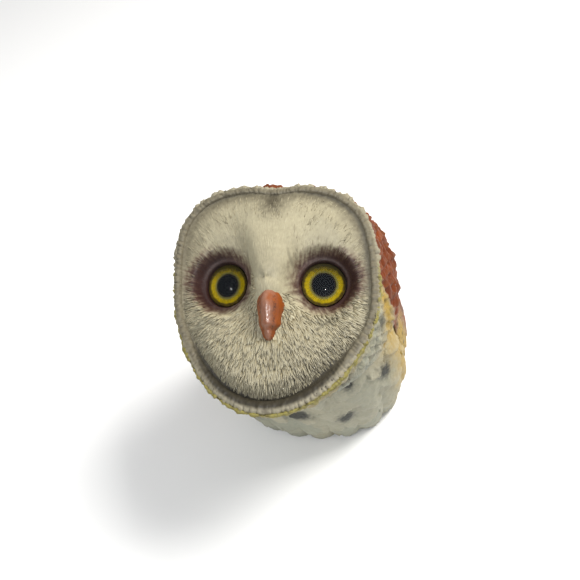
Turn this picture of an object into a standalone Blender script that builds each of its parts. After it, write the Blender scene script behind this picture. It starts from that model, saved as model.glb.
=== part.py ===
"""Owl figurine: a plump barn owl looking up, in hollow-cast painted resin.

The head and the body are separate castings: the head's spigot drops into a dished seat in the
body. The wings, the tail, the beak and the feet are smaller castings that plug into them. Each
eye is a clear dome over an iris ring and a black pupil stud. A rubber stopper closes the drain
hole and a felt pad covers it. Nothing moves.

Metres, +Z up, chest towards -Y, symmetric about X = 0, standing on Z = 0.
"""

import math

import bmesh
import bpy
import numpy as np
from mathutils import Matrix, Vector

MM = 0.001

# ---- fits and walls
GLUE_GAP = 0.35 * MM  # between any two pieces
WALL = 3.6 * MM  # of the castings
OVERSHOOT = 2 * MM  # how far a cutter runs past the face it opens

# ---- where the two big castings stand
HEAD_Y = -13.0 * MM
BODY_HEIGHT = 33.0 * MM  # middle of the body above the table
BODY_BELOW_HEAD = 48.0 * MM
BODY_BEHIND_HEAD = 14.0 * MM
HEAD_CENTRE = Vector((0, HEAD_Y, BODY_HEIGHT + BODY_BELOW_HEAD))
BODY_CENTRE = HEAD_CENTRE + Vector((0, BODY_BEHIND_HEAD, -BODY_BELOW_HEAD))
HEAD_PITCH = math.radians(60)  # how far the face looks up from the horizon
BODY_LEAN = math.radians(74)  # the spine above the horizon, leaning forward

# ---- face, in the head's frame: x across, y up the face, z out of it
FACE_HALF_WIDTH = 30.6 * MM
FACE_TOP = 29.0 * MM
FACE_BOTTOM = 38.6 * MM
FACE_SQUARENESS = (1.98, 3.0)  # superellipse power at the chin and at the brow
BROW_CLEFT = (0.035, math.radians(13))  # depth as a share of the radius, and half-angle
RIM_HEIGHT = 7.0 * MM  # crest of the ruff above the head's middle plane
RIM_SETBACK = 1.0 * MM  # how much lower the crest runs at the sides
RUFF_WIDTH = 4.6 * MM  # crest and groove together
RUFF_GROOVE = 1.2 * MM
GROOVE_PLACE = (0.72, 0.3)  # inset and half-width, as shares of the ruff's width
FACE_DOME = 0.3 * MM
BRIDGE_HEIGHT = 4.8 * MM
BRIDGE_HALF_WIDTH = 5.2 * MM
BRIDGE_FLARE = 0.8  # how much wider it is at the brow, as a share
BRIDGE_FALL = 0.6  # how much lower it is at the brow, as a share
BROW_SPAN = (2 * MM, 22 * MM)  # where the bridge falls away upwards
CHIN_SPAN = (-17 * MM, -6 * MM)  # where it falls away downwards
CHEEK_HEIGHT = 1.5 * MM
CHEEK_PLACE = (10 * MM, -20 * MM)
CHEEK_RADIUS = 9.0 * MM
DISH_DEPTH = 4.0 * MM
DISH_RADIUS = 9.0 * MM
DISH_SQUASH = 1.1  # width over height

# ---- hood: the crown and nape behind the ruff
HOOD_HALF_WIDTH = 36.6 * MM
HOOD_TOP = 34.2 * MM
HOOD_BOTTOM = 35.0 * MM
HOOD_SQUARENESS = (2.0, 2.15)
HOOD_PROFILE = (0.33, 0.8)  # powers, outward and backward, of the curve that closes the hood
HEAD_BACK = 27.0 * MM
FRONT_SHARE = 0.56  # share of the head's rings that lie on the face

# ---- eyes
EYE_X = 14.7 * MM
EYE_Y = -0.4 * MM
EYE_LEVEL = 2.5 * MM  # top of the iris above the head's middle plane
EYE_SPLAY = math.radians(9)
LENS_RADIUS = 7.0 * MM
LENS_EDGE = 0.6 * MM
LENS_RISE = 4.0 * MM
IRIS_RADIUS = 6.2 * MM
IRIS_THICKNESS = 0.8 * MM
PUPIL_RADIUS = 3.3 * MM
PUPIL_LENGTH = 1.8 * MM

# ---- beak
BEAK_TOP_Y = -1.4 * MM
BEAK_TIP_Y = -17.6 * MM
BEAK_HALF_WIDTH = 4.4 * MM
BEAK_RIDGE = 7.0 * MM
BEAK_KEEL = 2.4 * MM
BEAK_FULLNESS = 0.8  # power of the taper at both ends, 1 for an ellipse's half
BEAK_THINNING = 0.42  # share of the thickness lost towards the tip
BEAK_THIN_FROM = 0.3  # share of the length where that starts
BEAK_SHARPNESS = 1.25  # power that draws the ridge in
BEAK_LEVEL = (8.6 * MM, 7.2 * MM)  # middle of the beak at its root and at its tip
BEAK_PEG_RADIUS = 1.5 * MM
BEAK_PEG_Y = -7.5 * MM
BEAK_PEG_END = 3.0 * MM

# ---- body, in its own frame: x across, y towards the back, z up the spine
BODY_HALF_WIDTH = 32.7 * MM
BODY_CHEST = 29.0 * MM
BODY_BACK = 32.0 * MM
BODY_ABOVE = 44.0 * MM
BODY_BELOW = 50.0 * MM
BODY_FULLNESS = 0.5  # profile power, 1 for an ellipsoid
BODY_SQUARENESS = 2.4  # superellipse power of a level section
BODY_FLAT = 1.3 * MM  # height of the flat underside

# ---- neck joint and hollows
SPIGOT_RADIUS = 11.0 * MM
SPIGOT_BORE = 7.4 * MM
SPIGOT_LENGTH = 5.6 * MM
HEAD_HOLLOW = (25 * MM, 24 * MM, 9.5 * MM)  # half-sizes
HEAD_HOLLOW_CENTRE = (0, -2 * MM, -13.5 * MM)

# ---- wings
WING_RISE = 3.1 * MM  # outer face above the body's skin
WING_MIDLINE_GAP = 4.0 * MM
WING_OUTLINE = (  # side view from the body's middle, towards the back and up, mm
    (-4, 22), (-6, 12), (-4, 0), (3, -12), (15, -19), (30, -20), (37, -14),
    (38, -6), (38, 10), (36, 24), (28, 32), (14, 31), (2, 27),
)
CORNER_CUTS = 2  # rounds the outline
WING_PEG_RADIUS = 1.5 * MM
WING_PEG_LENGTH = 3.0 * MM
WING_PEGS = ((0.47, 0.35), (0.66, 0.85))  # share down the spine, and radians behind the side

# ---- tail
TAIL_END = 52.0 * MM  # along its slope, from under the body's middle
TAIL_ROOT = 20.0 * MM
TAIL_ROOT_HEIGHT = 17.0 * MM
TAIL_END_HEIGHT = 4.4 * MM
TAIL_THICKNESS = 2.8 * MM
TAIL_FEATHERS = 5
TAIL_FAN = math.radians(46)
TAIL_LOBE = (0.07, 0.6)  # depth of the notch between feathers as a share, and power of their ends
TAIL_PEG_RADIUS = 1.2 * MM
TAIL_PEG = (35.0 * MM, 42.0 * MM)  # start and end, along the slope

# ---- feet
FOOT_X = 9.0 * MM
FOOT_BACK = 7.5 * MM  # of the leg, in front of the body's middle
TOE_LENGTH = 9.0 * MM
TOE_RADIUS = 1.6 * MM
TOE_SPREAD = math.radians(24)
TOE_CLEARANCE = 0.3 * MM  # over the table
TOE_ROOM = (2.6 * MM, 2.2 * MM, 6.6 * MM, -14.0 * MM)  # half-width and y: at the heel, in front
LEG_RADIUS = 2.1 * MM
LEG_LENGTH = 7.0 * MM

# ---- underside
PAD_THICKNESS = 1.0 * MM
PAD_RADIUS = 17.0 * MM
PAD_BEHIND = 11.0 * MM  # of the pad's middle, behind the body's middle
DRAIN_RADIUS = 4.5 * MM
STOPPER_FLANGE = 6.0 * MM
STOPPER_FLANGE_THICKNESS = 1.2 * MM
STOPPER_LENGTH = 6.0 * MM

# ---- mesh fineness
HEAD_MESH = (64, 40)
BODY_MESH = (44, 28)
BEAK_MESH = (24, 17)
TOE_MESH = (18, 11)
HOLLOW_MESH = (32, 16)
LENS_STEPS = 9
SHARP_ANGLE = math.radians(35)  # edges sharper than this stay crisp
LOBE_STEPS = 6
ROUND = 28

# ---- colours
CREAM = (0.42, 0.38, 0.27)
CHEST_CREAM = (0.38, 0.33, 0.22)
RUST = (0.28, 0.1, 0.04)
HORN = (0.3, 0.25, 0.16)
ORANGE = (0.42, 0.15, 0.06)
CLEAR = (0.95, 0.97, 0.97)
YELLOW = (0.45, 0.42, 0.03)
BLACK = (0.01, 0.01, 0.012)
RUBBER = (0.03, 0.03, 0.03)
FELT_GREEN = (0.02, 0.07, 0.04)


def smoothstep(low, high, value):
    share = np.clip((value - low) / (high - low), 0, 1)
    return share * share * (3 - 2 * share)


def bump(value, width):
    return np.exp(-((value / width) ** 2))


def superellipse(angle, half_width, top, bottom, powers):
    """Radius at an angle from +x, with one power below and another above."""
    upward = smoothstep(-0.6, 0.6, np.sin(angle))
    power = powers[0] + (powers[1] - powers[0]) * upward
    height = np.where(np.sin(angle) > 0, top, bottom)
    across = np.abs(np.cos(angle) / half_width) ** power
    return (across + np.abs(np.sin(angle) / height) ** power) ** (-1 / power)


def face_outline(angle):
    """Radius of the ruff's outer edge, cleft at the brow."""
    depth, spread = BROW_CLEFT
    from_top = (angle + math.pi / 2) % math.tau - math.pi
    plain = superellipse(angle, FACE_HALF_WIDTH, FACE_TOP, FACE_BOTTOM, FACE_SQUARENESS)
    return plain * (1 - depth * bump(from_top, spread))


def rim_height(angle):
    return RIM_HEIGHT - RIM_SETBACK * np.cos(angle) ** 2


def face_height(x, y):
    """Height of the face over the head's middle plane."""
    angle = np.arctan2(y, x)
    outline = face_outline(angle)
    inward = outline - np.hypot(x, y)
    share = np.clip(np.hypot(x, y) / (outline - RUFF_WIDTH), 0, 1)
    inset, half_width = GROOVE_PLACE
    groove = RUFF_GROOVE * bump(inward - RUFF_WIDTH * inset, RUFF_WIDTH * half_width)
    height = rim_height(angle) - groove + FACE_DOME * (1 - share**2)
    brow = 1 - BRIDGE_FALL * smoothstep(*BROW_SPAN, y)
    chin = smoothstep(*CHIN_SPAN, y)
    flare = BRIDGE_HALF_WIDTH * (1 + BRIDGE_FLARE * smoothstep(0, BROW_SPAN[1], y))
    height = height + BRIDGE_HEIGHT * bump(x, flare) * brow * chin * (1 - share**4)
    for side in (-1, 1):
        away = np.hypot(x - side * EYE_X, (y - EYE_Y) * DISH_SQUASH)
        height = height - DISH_DEPTH * bump(away, DISH_RADIUS)
        aside, above = x - side * CHEEK_PLACE[0], y - CHEEK_PLACE[1]
        height = height + CHEEK_HEIGHT * bump(aside, CHEEK_RADIUS) * bump(above, CHEEK_RADIUS)
    return height


def head_surface(polar, angle, grow=0.0):
    """The head's skin: the face out to the ruff's edge, then the hood closing behind."""
    front = np.clip(polar / FRONT_SHARE, 0, 1)
    edge = face_outline(angle) + grow
    x = edge * front * np.cos(angle)
    y = edge * front * np.sin(angle) + BEAK_PEG_Y * (1 - front)
    z_edge = rim_height(angle)
    depth = np.clip((polar - FRONT_SHARE) / (1 - FRONT_SHARE), 0, 1)
    behind = depth > 0
    around = depth * math.pi / 2
    hood = superellipse(angle, HOOD_HALF_WIDTH, HOOD_TOP, HOOD_BOTTOM, HOOD_SQUARENESS) + grow
    radius = edge + (hood - edge) * smoothstep(0, 0.35, depth)
    closing = np.abs(np.cos(around)) ** HOOD_PROFILE[0]
    sinking = np.sin(around) ** HOOD_PROFILE[1]
    z = np.where(behind, z_edge - (z_edge + HEAD_BACK + grow) * sinking, face_height(x, y) + grow)
    x = np.where(behind, radius * closing * np.cos(angle), x)
    y = np.where(behind, radius * closing * np.sin(angle), y)
    return np.stack([x, y, z], axis=-1)


def body_surface(polar, angle, grow=0.0):
    turn = polar * math.pi
    depth = np.where(np.sin(angle) > 0, BODY_BACK, BODY_CHEST) + grow
    across = np.abs(np.cos(angle) / (BODY_HALF_WIDTH + grow)) ** BODY_SQUARENESS
    ring = (across + np.abs(np.sin(angle) / depth) ** BODY_SQUARENESS) ** (-1 / BODY_SQUARENESS)
    radius = ring * np.abs(np.sin(turn)) ** BODY_FULLNESS
    axial = (np.where(np.cos(turn) > 0, BODY_ABOVE, BODY_BELOW) + grow) * np.cos(turn)
    return np.stack([radius * np.cos(angle), radius * np.sin(angle), axial], axis=-1)


def beak_surface(polar, angle, grow=0.0):
    """A hooked cone down the face: a high ridge in front, a shallow keel behind."""
    turn = polar * math.pi
    middle = (BEAK_TOP_Y + BEAK_TIP_Y) / 2
    half_length = (BEAK_TOP_Y - BEAK_TIP_Y) / 2 + grow
    y = middle + half_length * np.cos(turn)
    thinning = 1 - BEAK_THINNING * smoothstep(BEAK_THIN_FROM, 1, polar)
    taper = np.sin(turn) ** BEAK_FULLNESS * thinning
    level = BEAK_LEVEL[0] + (BEAK_LEVEL[1] - BEAK_LEVEL[0]) * polar
    upper = np.sin(angle) > 0
    reach = np.where(upper, BEAK_RIDGE, BEAK_KEEL) * taper + grow * np.sin(turn)
    width = BEAK_HALF_WIDTH * taper + grow * np.sin(turn)
    sharp = np.where(upper, np.abs(np.cos(angle)) ** BEAK_SHARPNESS, np.abs(np.cos(angle)))
    x = -width * np.sign(np.cos(angle)) * sharp
    return np.stack([x, y, level + reach * np.sin(angle)], axis=-1)


def frame_matrix(origin, up, out):
    """A frame at origin with y along up and z along out."""
    across = up.cross(out)
    rows = Matrix((across, up, out)).transposed().to_4x4()
    return Matrix.Translation(origin) @ rows


def head_frame():
    sine, cosine = math.sin(HEAD_PITCH), math.cos(HEAD_PITCH)
    return frame_matrix(HEAD_CENTRE, Vector((0, sine, cosine)), Vector((0, -cosine, sine)))


def body_frame():
    sine, cosine = math.sin(BODY_LEAN), math.cos(BODY_LEAN)
    return frame_matrix(BODY_CENTRE, Vector((0, sine, cosine)), Vector((0, -cosine, sine)))


def eye_frame(side):
    """z out of the eye, from the middle of the iris's top face."""
    centre = Matrix.Translation((side * EYE_X, EYE_Y, EYE_LEVEL))
    return head_frame() @ centre @ Matrix.Rotation(side * EYE_SPLAY, 4, "Y")


def clear_scene():
    for item in list(bpy.data.objects):
        bpy.data.objects.remove(item, do_unlink=True)


def new_collection(name, hidden=False):
    collection = bpy.data.collections.new(name)
    bpy.context.scene.collection.children.link(collection)
    collection.hide_render = hidden
    return collection


def add_object(name, mesh, matrix, collection):
    made = bpy.data.objects.new(name, mesh)
    made.matrix_world = matrix
    collection.objects.link(made)
    if collection == cutters:
        made.hide_render = True
        made.display_type = "WIRE"
    return made


def mesh_from(bm, name):
    bmesh.ops.recalc_face_normals(bm, faces=bm.faces)
    mesh = bpy.data.meshes.new(name)
    bm.to_mesh(mesh)
    bm.free()
    return mesh


def shaped_sphere(name, fineness, surface, matrix, collection):
    """A UV sphere whose points are moved onto surface(polar, angle), polar running 0 to 1."""
    bm = bmesh.new()
    bmesh.ops.create_uvsphere(bm, u_segments=fineness[0], v_segments=fineness[1], radius=1)
    mesh = bpy.data.meshes.new(name)
    bm.to_mesh(mesh)
    bm.free()
    points = np.empty(len(mesh.vertices) * 3)
    mesh.vertices.foreach_get("co", points)
    points = points.reshape(-1, 3)
    polar = np.arccos(np.clip(points[:, 2], -1, 1)) / math.pi
    angle = np.arctan2(points[:, 1], points[:, 0])
    mesh.vertices.foreach_set("co", surface(polar, angle).ravel())
    mesh.update()
    return add_object(name, mesh, matrix, collection)


def ellipsoid(name, half_sizes, matrix, collection, fineness):
    bm = bmesh.new()
    bmesh.ops.create_uvsphere(bm, u_segments=fineness[0], v_segments=fineness[1], radius=1)
    bmesh.ops.scale(bm, vec=half_sizes, verts=bm.verts)
    return add_object(name, mesh_from(bm, name), matrix, collection)


def turned(name, profile, matrix, collection):
    """A solid turned about its own z from (radius, height) pairs.

    The profile starts and ends on the axis, or comes back to its first pair.
    """
    bm = bmesh.new()
    rings = []
    for radius, height in profile:
        if rings and (radius, height) == profile[0]:
            rings.append(rings[0])
            continue
        if radius == 0:
            rings.append([bm.verts.new((0, 0, height))])
            continue
        turns = [math.tau * k / ROUND for k in range(ROUND)]
        rings.append([bm.verts.new((radius * math.cos(t), radius * math.sin(t), height)) for t in turns])
    for lower, upper in zip(rings, rings[1:]):
        for k in range(ROUND):
            corners = [lower[k % len(lower)], lower[(k + 1) % ROUND % len(lower)]]
            corners += [upper[(k + 1) % ROUND % len(upper)], upper[k % len(upper)]]
            bm.faces.new(list(dict.fromkeys(corners)))
    return add_object(name, mesh_from(bm, name), matrix, collection)


def rod(name, radius, low, high, matrix, collection):
    return turned(name, [(0, low), (radius, low), (radius, high), (0, high)], matrix, collection)


def block(name, low, high, matrix, collection):
    bm = bmesh.new()
    bmesh.ops.create_cube(bm, size=1)
    size = Vector(high) - Vector(low)
    bmesh.ops.scale(bm, vec=size, verts=bm.verts)
    bmesh.ops.translate(bm, vec=Vector(low) + size / 2, verts=bm.verts)
    return add_object(name, mesh_from(bm, name), matrix, collection)


def prism(name, outline, low, high, matrix, collection):
    """An outline in x and y, extruded along z."""
    bm = bmesh.new()
    floor = [bm.verts.new((x, y, low)) for x, y in outline]
    face = bm.faces.new(floor)
    lifted = bmesh.ops.extrude_face_region(bm, geom=[face])["geom"]
    tops = [item for item in lifted if isinstance(item, bmesh.types.BMVert)]
    bmesh.ops.translate(bm, vec=(0, 0, high - low), verts=tops)
    return add_object(name, mesh_from(bm, name), matrix, collection)


def cut(target, tool, operation="DIFFERENCE"):
    step = target.modifiers.new(tool.name, "BOOLEAN")
    step.operation = operation
    step.solver = "EXACT"
    step.object = tool


def finish(piece, colour, roughness, alpha=1.0):
    material = bpy.data.materials.new(piece.name)
    material.use_nodes = True
    shader = material.node_tree.nodes["Principled BSDF"]
    shader.inputs["Base Color"].default_value = (*colour, 1)
    shader.inputs["Roughness"].default_value = roughness
    shader.inputs["Alpha"].default_value = alpha
    piece.data.materials.append(material)
    piece.data.shade_smooth()
    piece.data.set_sharp_from_angle(angle=SHARP_ANGLE)


def wing_prism(side):
    """The wing's side view pushed out through one side of the body."""
    sideways = Matrix(((0, 0, side, 0), (1, 0, 0, 0), (0, 1, 0, 0), (0, 0, 0, 1)))
    outline = [Vector(point) * MM for point in WING_OUTLINE]
    for _ in range(CORNER_CUTS):
        pairs = list(zip(outline, outline[1:] + outline[:1]))
        outline = [a.lerp(b, share) for a, b in pairs for share in (0.25, 0.75)]
    place = Matrix.Translation(BODY_CENTRE) @ sideways
    reach = BODY_HALF_WIDTH + 2 * WING_RISE
    return prism(f"wing_outline_{side}", outline, WING_MIDLINE_GAP / 2, reach, place, cutters)


def wing_peg_frame(side, share, behind):
    """z runs from the body's skin straight out from the spine."""
    outward = behind if side > 0 else math.pi - behind
    point = Vector(body_surface(np.array(share), np.array(outward)))
    turn = Matrix.Rotation(outward, 4, "Z") @ Matrix.Rotation(math.pi / 2, 4, "Y")
    return body_frame() @ Matrix.Translation(point) @ turn


def body_skin(name, grow):
    def surface(polar, angle):
        return body_surface(polar, angle, grow)

    return shaped_sphere(name, BODY_MESH, surface, body_frame(), cutters)


def head_skin(name, grow):
    def surface(polar, angle):
        return head_surface(polar, angle, grow)

    return shaped_sphere(name, HEAD_MESH, surface, head_frame(), cutters)


def tail_outline():
    """A fan of rounded feather ends, from the body's middle out to the tail's end."""
    root, end = TAIL_ROOT, TAIL_END
    points = []
    notch, power = TAIL_LOBE
    steps = TAIL_FEATHERS * LOBE_STEPS
    for k in range(steps + 1):
        share = k / steps
        angle = (share - 0.5) * TAIL_FAN
        lobe = abs(math.sin(math.pi * share * TAIL_FEATHERS)) ** power
        reach = end * (1 - notch + notch * lobe)
        points.append((reach * math.sin(angle), reach * math.cos(angle)))
    half_root = root * math.sin(TAIL_FAN / 2)
    return [*points, (half_root, root), (-half_root, root)][::-1]


def tail_frame():
    """y runs back along the tail and down its slope, from under the body's middle."""
    slope = math.asin((TAIL_ROOT_HEIGHT - TAIL_END_HEIGHT) / (TAIL_END - TAIL_ROOT))
    height = TAIL_END_HEIGHT + TAIL_END * math.sin(slope)
    foot = Matrix.Translation((0, BODY_CENTRE.y, height))
    return foot @ Matrix.Rotation(-slope, 4, "X")


def tail_peg(name, grow):
    start, end = TAIL_PEG
    lying = tail_frame() @ Matrix.Rotation(-math.pi / 2, 4, "X")
    return rod(name, TAIL_PEG_RADIUS + grow, start - grow, end, lying, cutters)


def lens_profile():
    sphere = (LENS_RADIUS**2 + LENS_RISE**2) / (2 * LENS_RISE)
    edge = math.asin(LENS_RADIUS / sphere)
    top = GLUE_GAP + LENS_EDGE + LENS_RISE
    profile = [(0, GLUE_GAP), (LENS_RADIUS, GLUE_GAP)]
    for k in range(LENS_STEPS):
        turn = edge * (1 - k / LENS_STEPS)
        profile.append((sphere * math.sin(turn), top - sphere * (1 - math.cos(turn))))
    return [*profile, (0, top)]


def make_eye(side, label, head):
    frame = eye_frame(side)
    lens = turned(f"eye_lens_{label}", lens_profile(), frame, parts)
    finish(lens, CLEAR, 0.05, alpha=0.35)
    bore = PUPIL_RADIUS + GLUE_GAP
    profile = [(bore, -IRIS_THICKNESS), (IRIS_RADIUS, -IRIS_THICKNESS), (IRIS_RADIUS, 0), (bore, 0)]
    iris = turned(f"iris_{label}", [*profile, profile[0]], frame, parts)
    finish(iris, YELLOW, 0.4)
    pupil = rod(f"pupil_{label}", PUPIL_RADIUS, -PUPIL_LENGTH, 0, frame, parts)
    finish(pupil, BLACK, 0.2)
    floor = -IRIS_THICKNESS - GLUE_GAP
    deep = -PUPIL_LENGTH - GLUE_GAP
    wide = LENS_RADIUS + GLUE_GAP
    steps = [(0, deep), (bore, deep), (bore, floor), (wide, floor), (wide, LENS_RADIUS), (0, LENS_RADIUS)]
    cut(head, turned(f"eye_socket_{label}", steps, frame, cutters))


def make_beak(head):
    frame = head_frame()
    beak = shaped_sphere("beak", BEAK_MESH, beak_surface, frame, parts)
    peg_place = frame @ Matrix.Translation((0, BEAK_PEG_Y, 0))
    top = BEAK_LEVEL[1]
    cut(beak, rod("beak_peg", BEAK_PEG_RADIUS, BEAK_PEG_END, top, peg_place, cutters), "UNION")

    def clearance(polar, angle):
        return beak_surface(polar, angle, GLUE_GAP)

    cut(head, shaped_sphere("beak_seat", BEAK_MESH, clearance, frame, cutters))
    hole_radius = BEAK_PEG_RADIUS + GLUE_GAP
    cut(head, rod("beak_hole", hole_radius, BEAK_PEG_END - GLUE_GAP, top, peg_place, cutters))
    finish(beak, ORANGE, 0.35)


def make_head():
    frame = head_frame()
    head = shaped_sphere("head_shell", HEAD_MESH, head_surface, frame, parts)
    back = -HEAD_BACK
    spigot = rod("spigot", SPIGOT_RADIUS, back - SPIGOT_LENGTH, back + WALL, frame, cutters)
    cut(head, spigot, "UNION")
    hollow_place = frame @ Matrix.Translation(HEAD_HOLLOW_CENTRE)
    cut(head, ellipsoid("head_hollow", HEAD_HOLLOW, hollow_place, cutters, HOLLOW_MESH))
    mouth = back - SPIGOT_LENGTH - OVERSHOOT
    middle = HEAD_HOLLOW_CENTRE[2]
    cut(head, rod("spigot_bore", SPIGOT_BORE, mouth, middle, frame, cutters))
    make_beak(head)
    make_eye(-1, "right", head)
    make_eye(1, "left", head)
    finish(head, CREAM, 0.6)
    return head


def make_body():
    world = Matrix.Identity(4)
    frame = head_frame()
    body = shaped_sphere("body_shell", BODY_MESH, body_surface, body_frame(), parts)
    room = 2 * BODY_CHEST
    table = block("table_cut", (-room, -room, -room), (room, room, BODY_FLAT), world, cutters)
    cut(body, table)
    cut(body, head_skin("head_seat", GLUE_GAP))
    hollow = body_skin("body_hollow", -WALL)
    ceiling = -HEAD_BACK - GLUE_GAP - WALL
    roof = block("hollow_roof", (-room, -room, ceiling), (room, room, room), frame, cutters)
    cut(hollow, roof)
    floor = BODY_FLAT + WALL
    cut(hollow, block("hollow_floor", (-room, -room, -room), (room, room, floor), world, cutters))
    cut(body, hollow)
    socket_end = -HEAD_BACK - SPIGOT_LENGTH - OVERSHOOT
    socket_radius = SPIGOT_RADIUS + GLUE_GAP
    cut(body, rod("neck_socket", socket_radius, socket_end, -HEAD_BACK + WALL, frame, cutters))
    under = Matrix.Translation((0, BODY_CENTRE.y + PAD_BEHIND, 0))
    recess = BODY_FLAT + STOPPER_FLANGE_THICKNESS + 2 * GLUE_GAP
    wide = STOPPER_FLANGE + GLUE_GAP
    top = floor + OVERSHOOT
    steps = [(0, 0), (wide, 0), (wide, recess), (DRAIN_RADIUS, recess), (DRAIN_RADIUS, top), (0, top)]
    cut(body, turned("drain_hole", steps, under, cutters))
    finish(body, CHEST_CREAM, 0.6)
    return body


def make_wing(side, label, body):
    wing = shaped_sphere(
        f"wing_{label}", BODY_MESH, lambda p, a: body_surface(p, a, WING_RISE), body_frame(), parts
    )
    cut(wing, wing_prism(side), "INTERSECT")
    cut(wing, body_skin(f"wing_bed_{label}", GLUE_GAP))
    cut(wing, head_skin(f"wing_hood_{label}", GLUE_GAP))
    for number, (share, behind) in enumerate(WING_PEGS):
        place = wing_peg_frame(side, share, behind)
        name = f"wing_{label}_peg_{number}"
        peg = rod(name, WING_PEG_RADIUS, -WING_PEG_LENGTH, WING_RISE / 2, place, cutters)
        cut(wing, peg, "UNION")
        deep = -WING_PEG_LENGTH - GLUE_GAP
        radius = WING_PEG_RADIUS + GLUE_GAP
        cut(body, rod(f"{name}_hole", radius, deep, WING_RISE, place, cutters))
    finish(wing, RUST, 0.6)


def make_tail(body):
    half = TAIL_THICKNESS / 2
    tail = prism("tail_fan", tail_outline(), -half, half, tail_frame(), parts)
    cut(tail, body_skin("tail_bed", GLUE_GAP))
    cut(tail, tail_peg("tail_peg", 0), "UNION")
    cut(body, tail_peg("tail_hole", GLUE_GAP))
    finish(tail, RUST, 0.6)


def make_foot(side, label, body):
    middle = TOE_CLEARANCE + TOE_RADIUS
    heel = Matrix.Translation((side * FOOT_X, BODY_CENTRE.y - FOOT_BACK, 0))
    foot = rod(f"foot_{label}", LEG_RADIUS, middle, middle + LEG_LENGTH, heel, parts)
    half = (TOE_RADIUS, TOE_LENGTH / 2 + TOE_RADIUS / 2, TOE_RADIUS)
    for toe in (-1, 0, 1):
        turn = Matrix.Rotation(toe * TOE_SPREAD, 4, "Z")
        along = heel @ turn @ Matrix.Translation((0, -TOE_LENGTH / 2, middle))
        cut(foot, ellipsoid(f"toe_{label}_{toe}", half, along, cutters, TOE_MESH), "UNION")
    ceiling = TOE_CLEARANCE + 2 * TOE_RADIUS + GLUE_GAP
    outline = [(TOE_ROOM[0], TOE_ROOM[1]), (TOE_ROOM[2], TOE_ROOM[3])]
    outline += [(-across, back) for across, back in reversed(outline)]
    cut(body, prism(f"toe_recess_{label}", outline, -OVERSHOOT, ceiling, heel, cutters))
    top = ceiling + LEG_LENGTH
    cut(body, rod(f"leg_hole_{label}", LEG_RADIUS + GLUE_GAP, 0, top, heel, cutters))
    finish(foot, HORN, 0.6)


def make_underside():
    place = Matrix.Translation((0, BODY_CENTRE.y + PAD_BEHIND, 0))
    low = BODY_FLAT + GLUE_GAP
    shoulder = low + STOPPER_FLANGE_THICKNESS
    stem = DRAIN_RADIUS - GLUE_GAP
    profile = [(0, low), (STOPPER_FLANGE, low), (STOPPER_FLANGE, shoulder), (stem, shoulder)]
    stopper = turned("drain_stopper", [*profile, (stem, STOPPER_LENGTH), (0, STOPPER_LENGTH)], place, parts)
    finish(stopper, RUBBER, 0.8)
    pad = rod("felt_pad", PAD_RADIUS, 0, PAD_THICKNESS, place, parts)
    finish(pad, FELT_GREEN, 0.95)


clear_scene()
parts = new_collection("owl_figurine")
cutters = new_collection("cutters", hidden=True)
make_head()
body_shell = make_body()
for wing_side, wing_label in ((-1, "right"), (1, "left")):
    make_wing(wing_side, wing_label, body_shell)
    make_foot(wing_side, wing_label, body_shell)
make_tail(body_shell)
make_underside()
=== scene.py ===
"""Looks of the owl figurine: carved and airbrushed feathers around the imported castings.

Shapes are worked out in millimetres, in the head's frame (x across the face, y up it, z out of it)
or the body's frame (x across, y towards the back, z up the spine), then placed in metres.
"""

import math

import bpy
import numpy as np
from mathutils import Matrix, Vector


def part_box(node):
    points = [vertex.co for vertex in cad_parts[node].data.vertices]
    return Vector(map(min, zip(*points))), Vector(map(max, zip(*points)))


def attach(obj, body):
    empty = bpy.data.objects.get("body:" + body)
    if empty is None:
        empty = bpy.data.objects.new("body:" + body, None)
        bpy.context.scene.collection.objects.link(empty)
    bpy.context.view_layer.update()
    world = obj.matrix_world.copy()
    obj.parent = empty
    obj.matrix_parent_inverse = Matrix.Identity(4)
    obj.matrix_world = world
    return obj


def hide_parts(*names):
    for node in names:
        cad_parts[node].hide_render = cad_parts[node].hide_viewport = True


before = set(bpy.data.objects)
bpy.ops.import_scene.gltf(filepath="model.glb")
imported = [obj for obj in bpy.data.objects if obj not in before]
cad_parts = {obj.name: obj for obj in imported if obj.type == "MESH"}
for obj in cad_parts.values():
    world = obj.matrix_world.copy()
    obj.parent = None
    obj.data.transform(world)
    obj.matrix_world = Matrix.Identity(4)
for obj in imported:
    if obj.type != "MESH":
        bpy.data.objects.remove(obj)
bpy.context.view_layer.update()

MM = 0.001
rng = np.random.default_rng(7)

# ---- head and face, mm
HEAD_PITCH = math.radians(60)
FACE_HALF_WIDTH = 30.6
FACE_TOP = 29.0
FACE_BOTTOM = 38.6
FACE_SQUARENESS = (1.98, 3.0)
BROW_CLEFT = (0.04, math.radians(12))
LOPSIDED = (0.010, 0.008)  # how far the hand-carved outline strays from a mirror image
RIM_HEIGHT = 7.0
RIM_SETBACK = 1.0
GROOVE_DEPTH = 1.35
CREST_WIDTH = (1.1, 2.2)  # of the ruff's rounded crest, at the brow and at the chin
BEAK_ROOT_Y = -7.5
HOOD_HALF_WIDTH = 36.2
HOOD_TOP = 34.2
HOOD_BOTTOM = 35.0
HOOD_SQUARENESS = (2.0, 2.15)
HOOD_PROFILE = (0.33, 0.8)
HEAD_BACK = 26.6
CROWN_RISE = 4.2  # of the crown behind the brow's cleft

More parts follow.
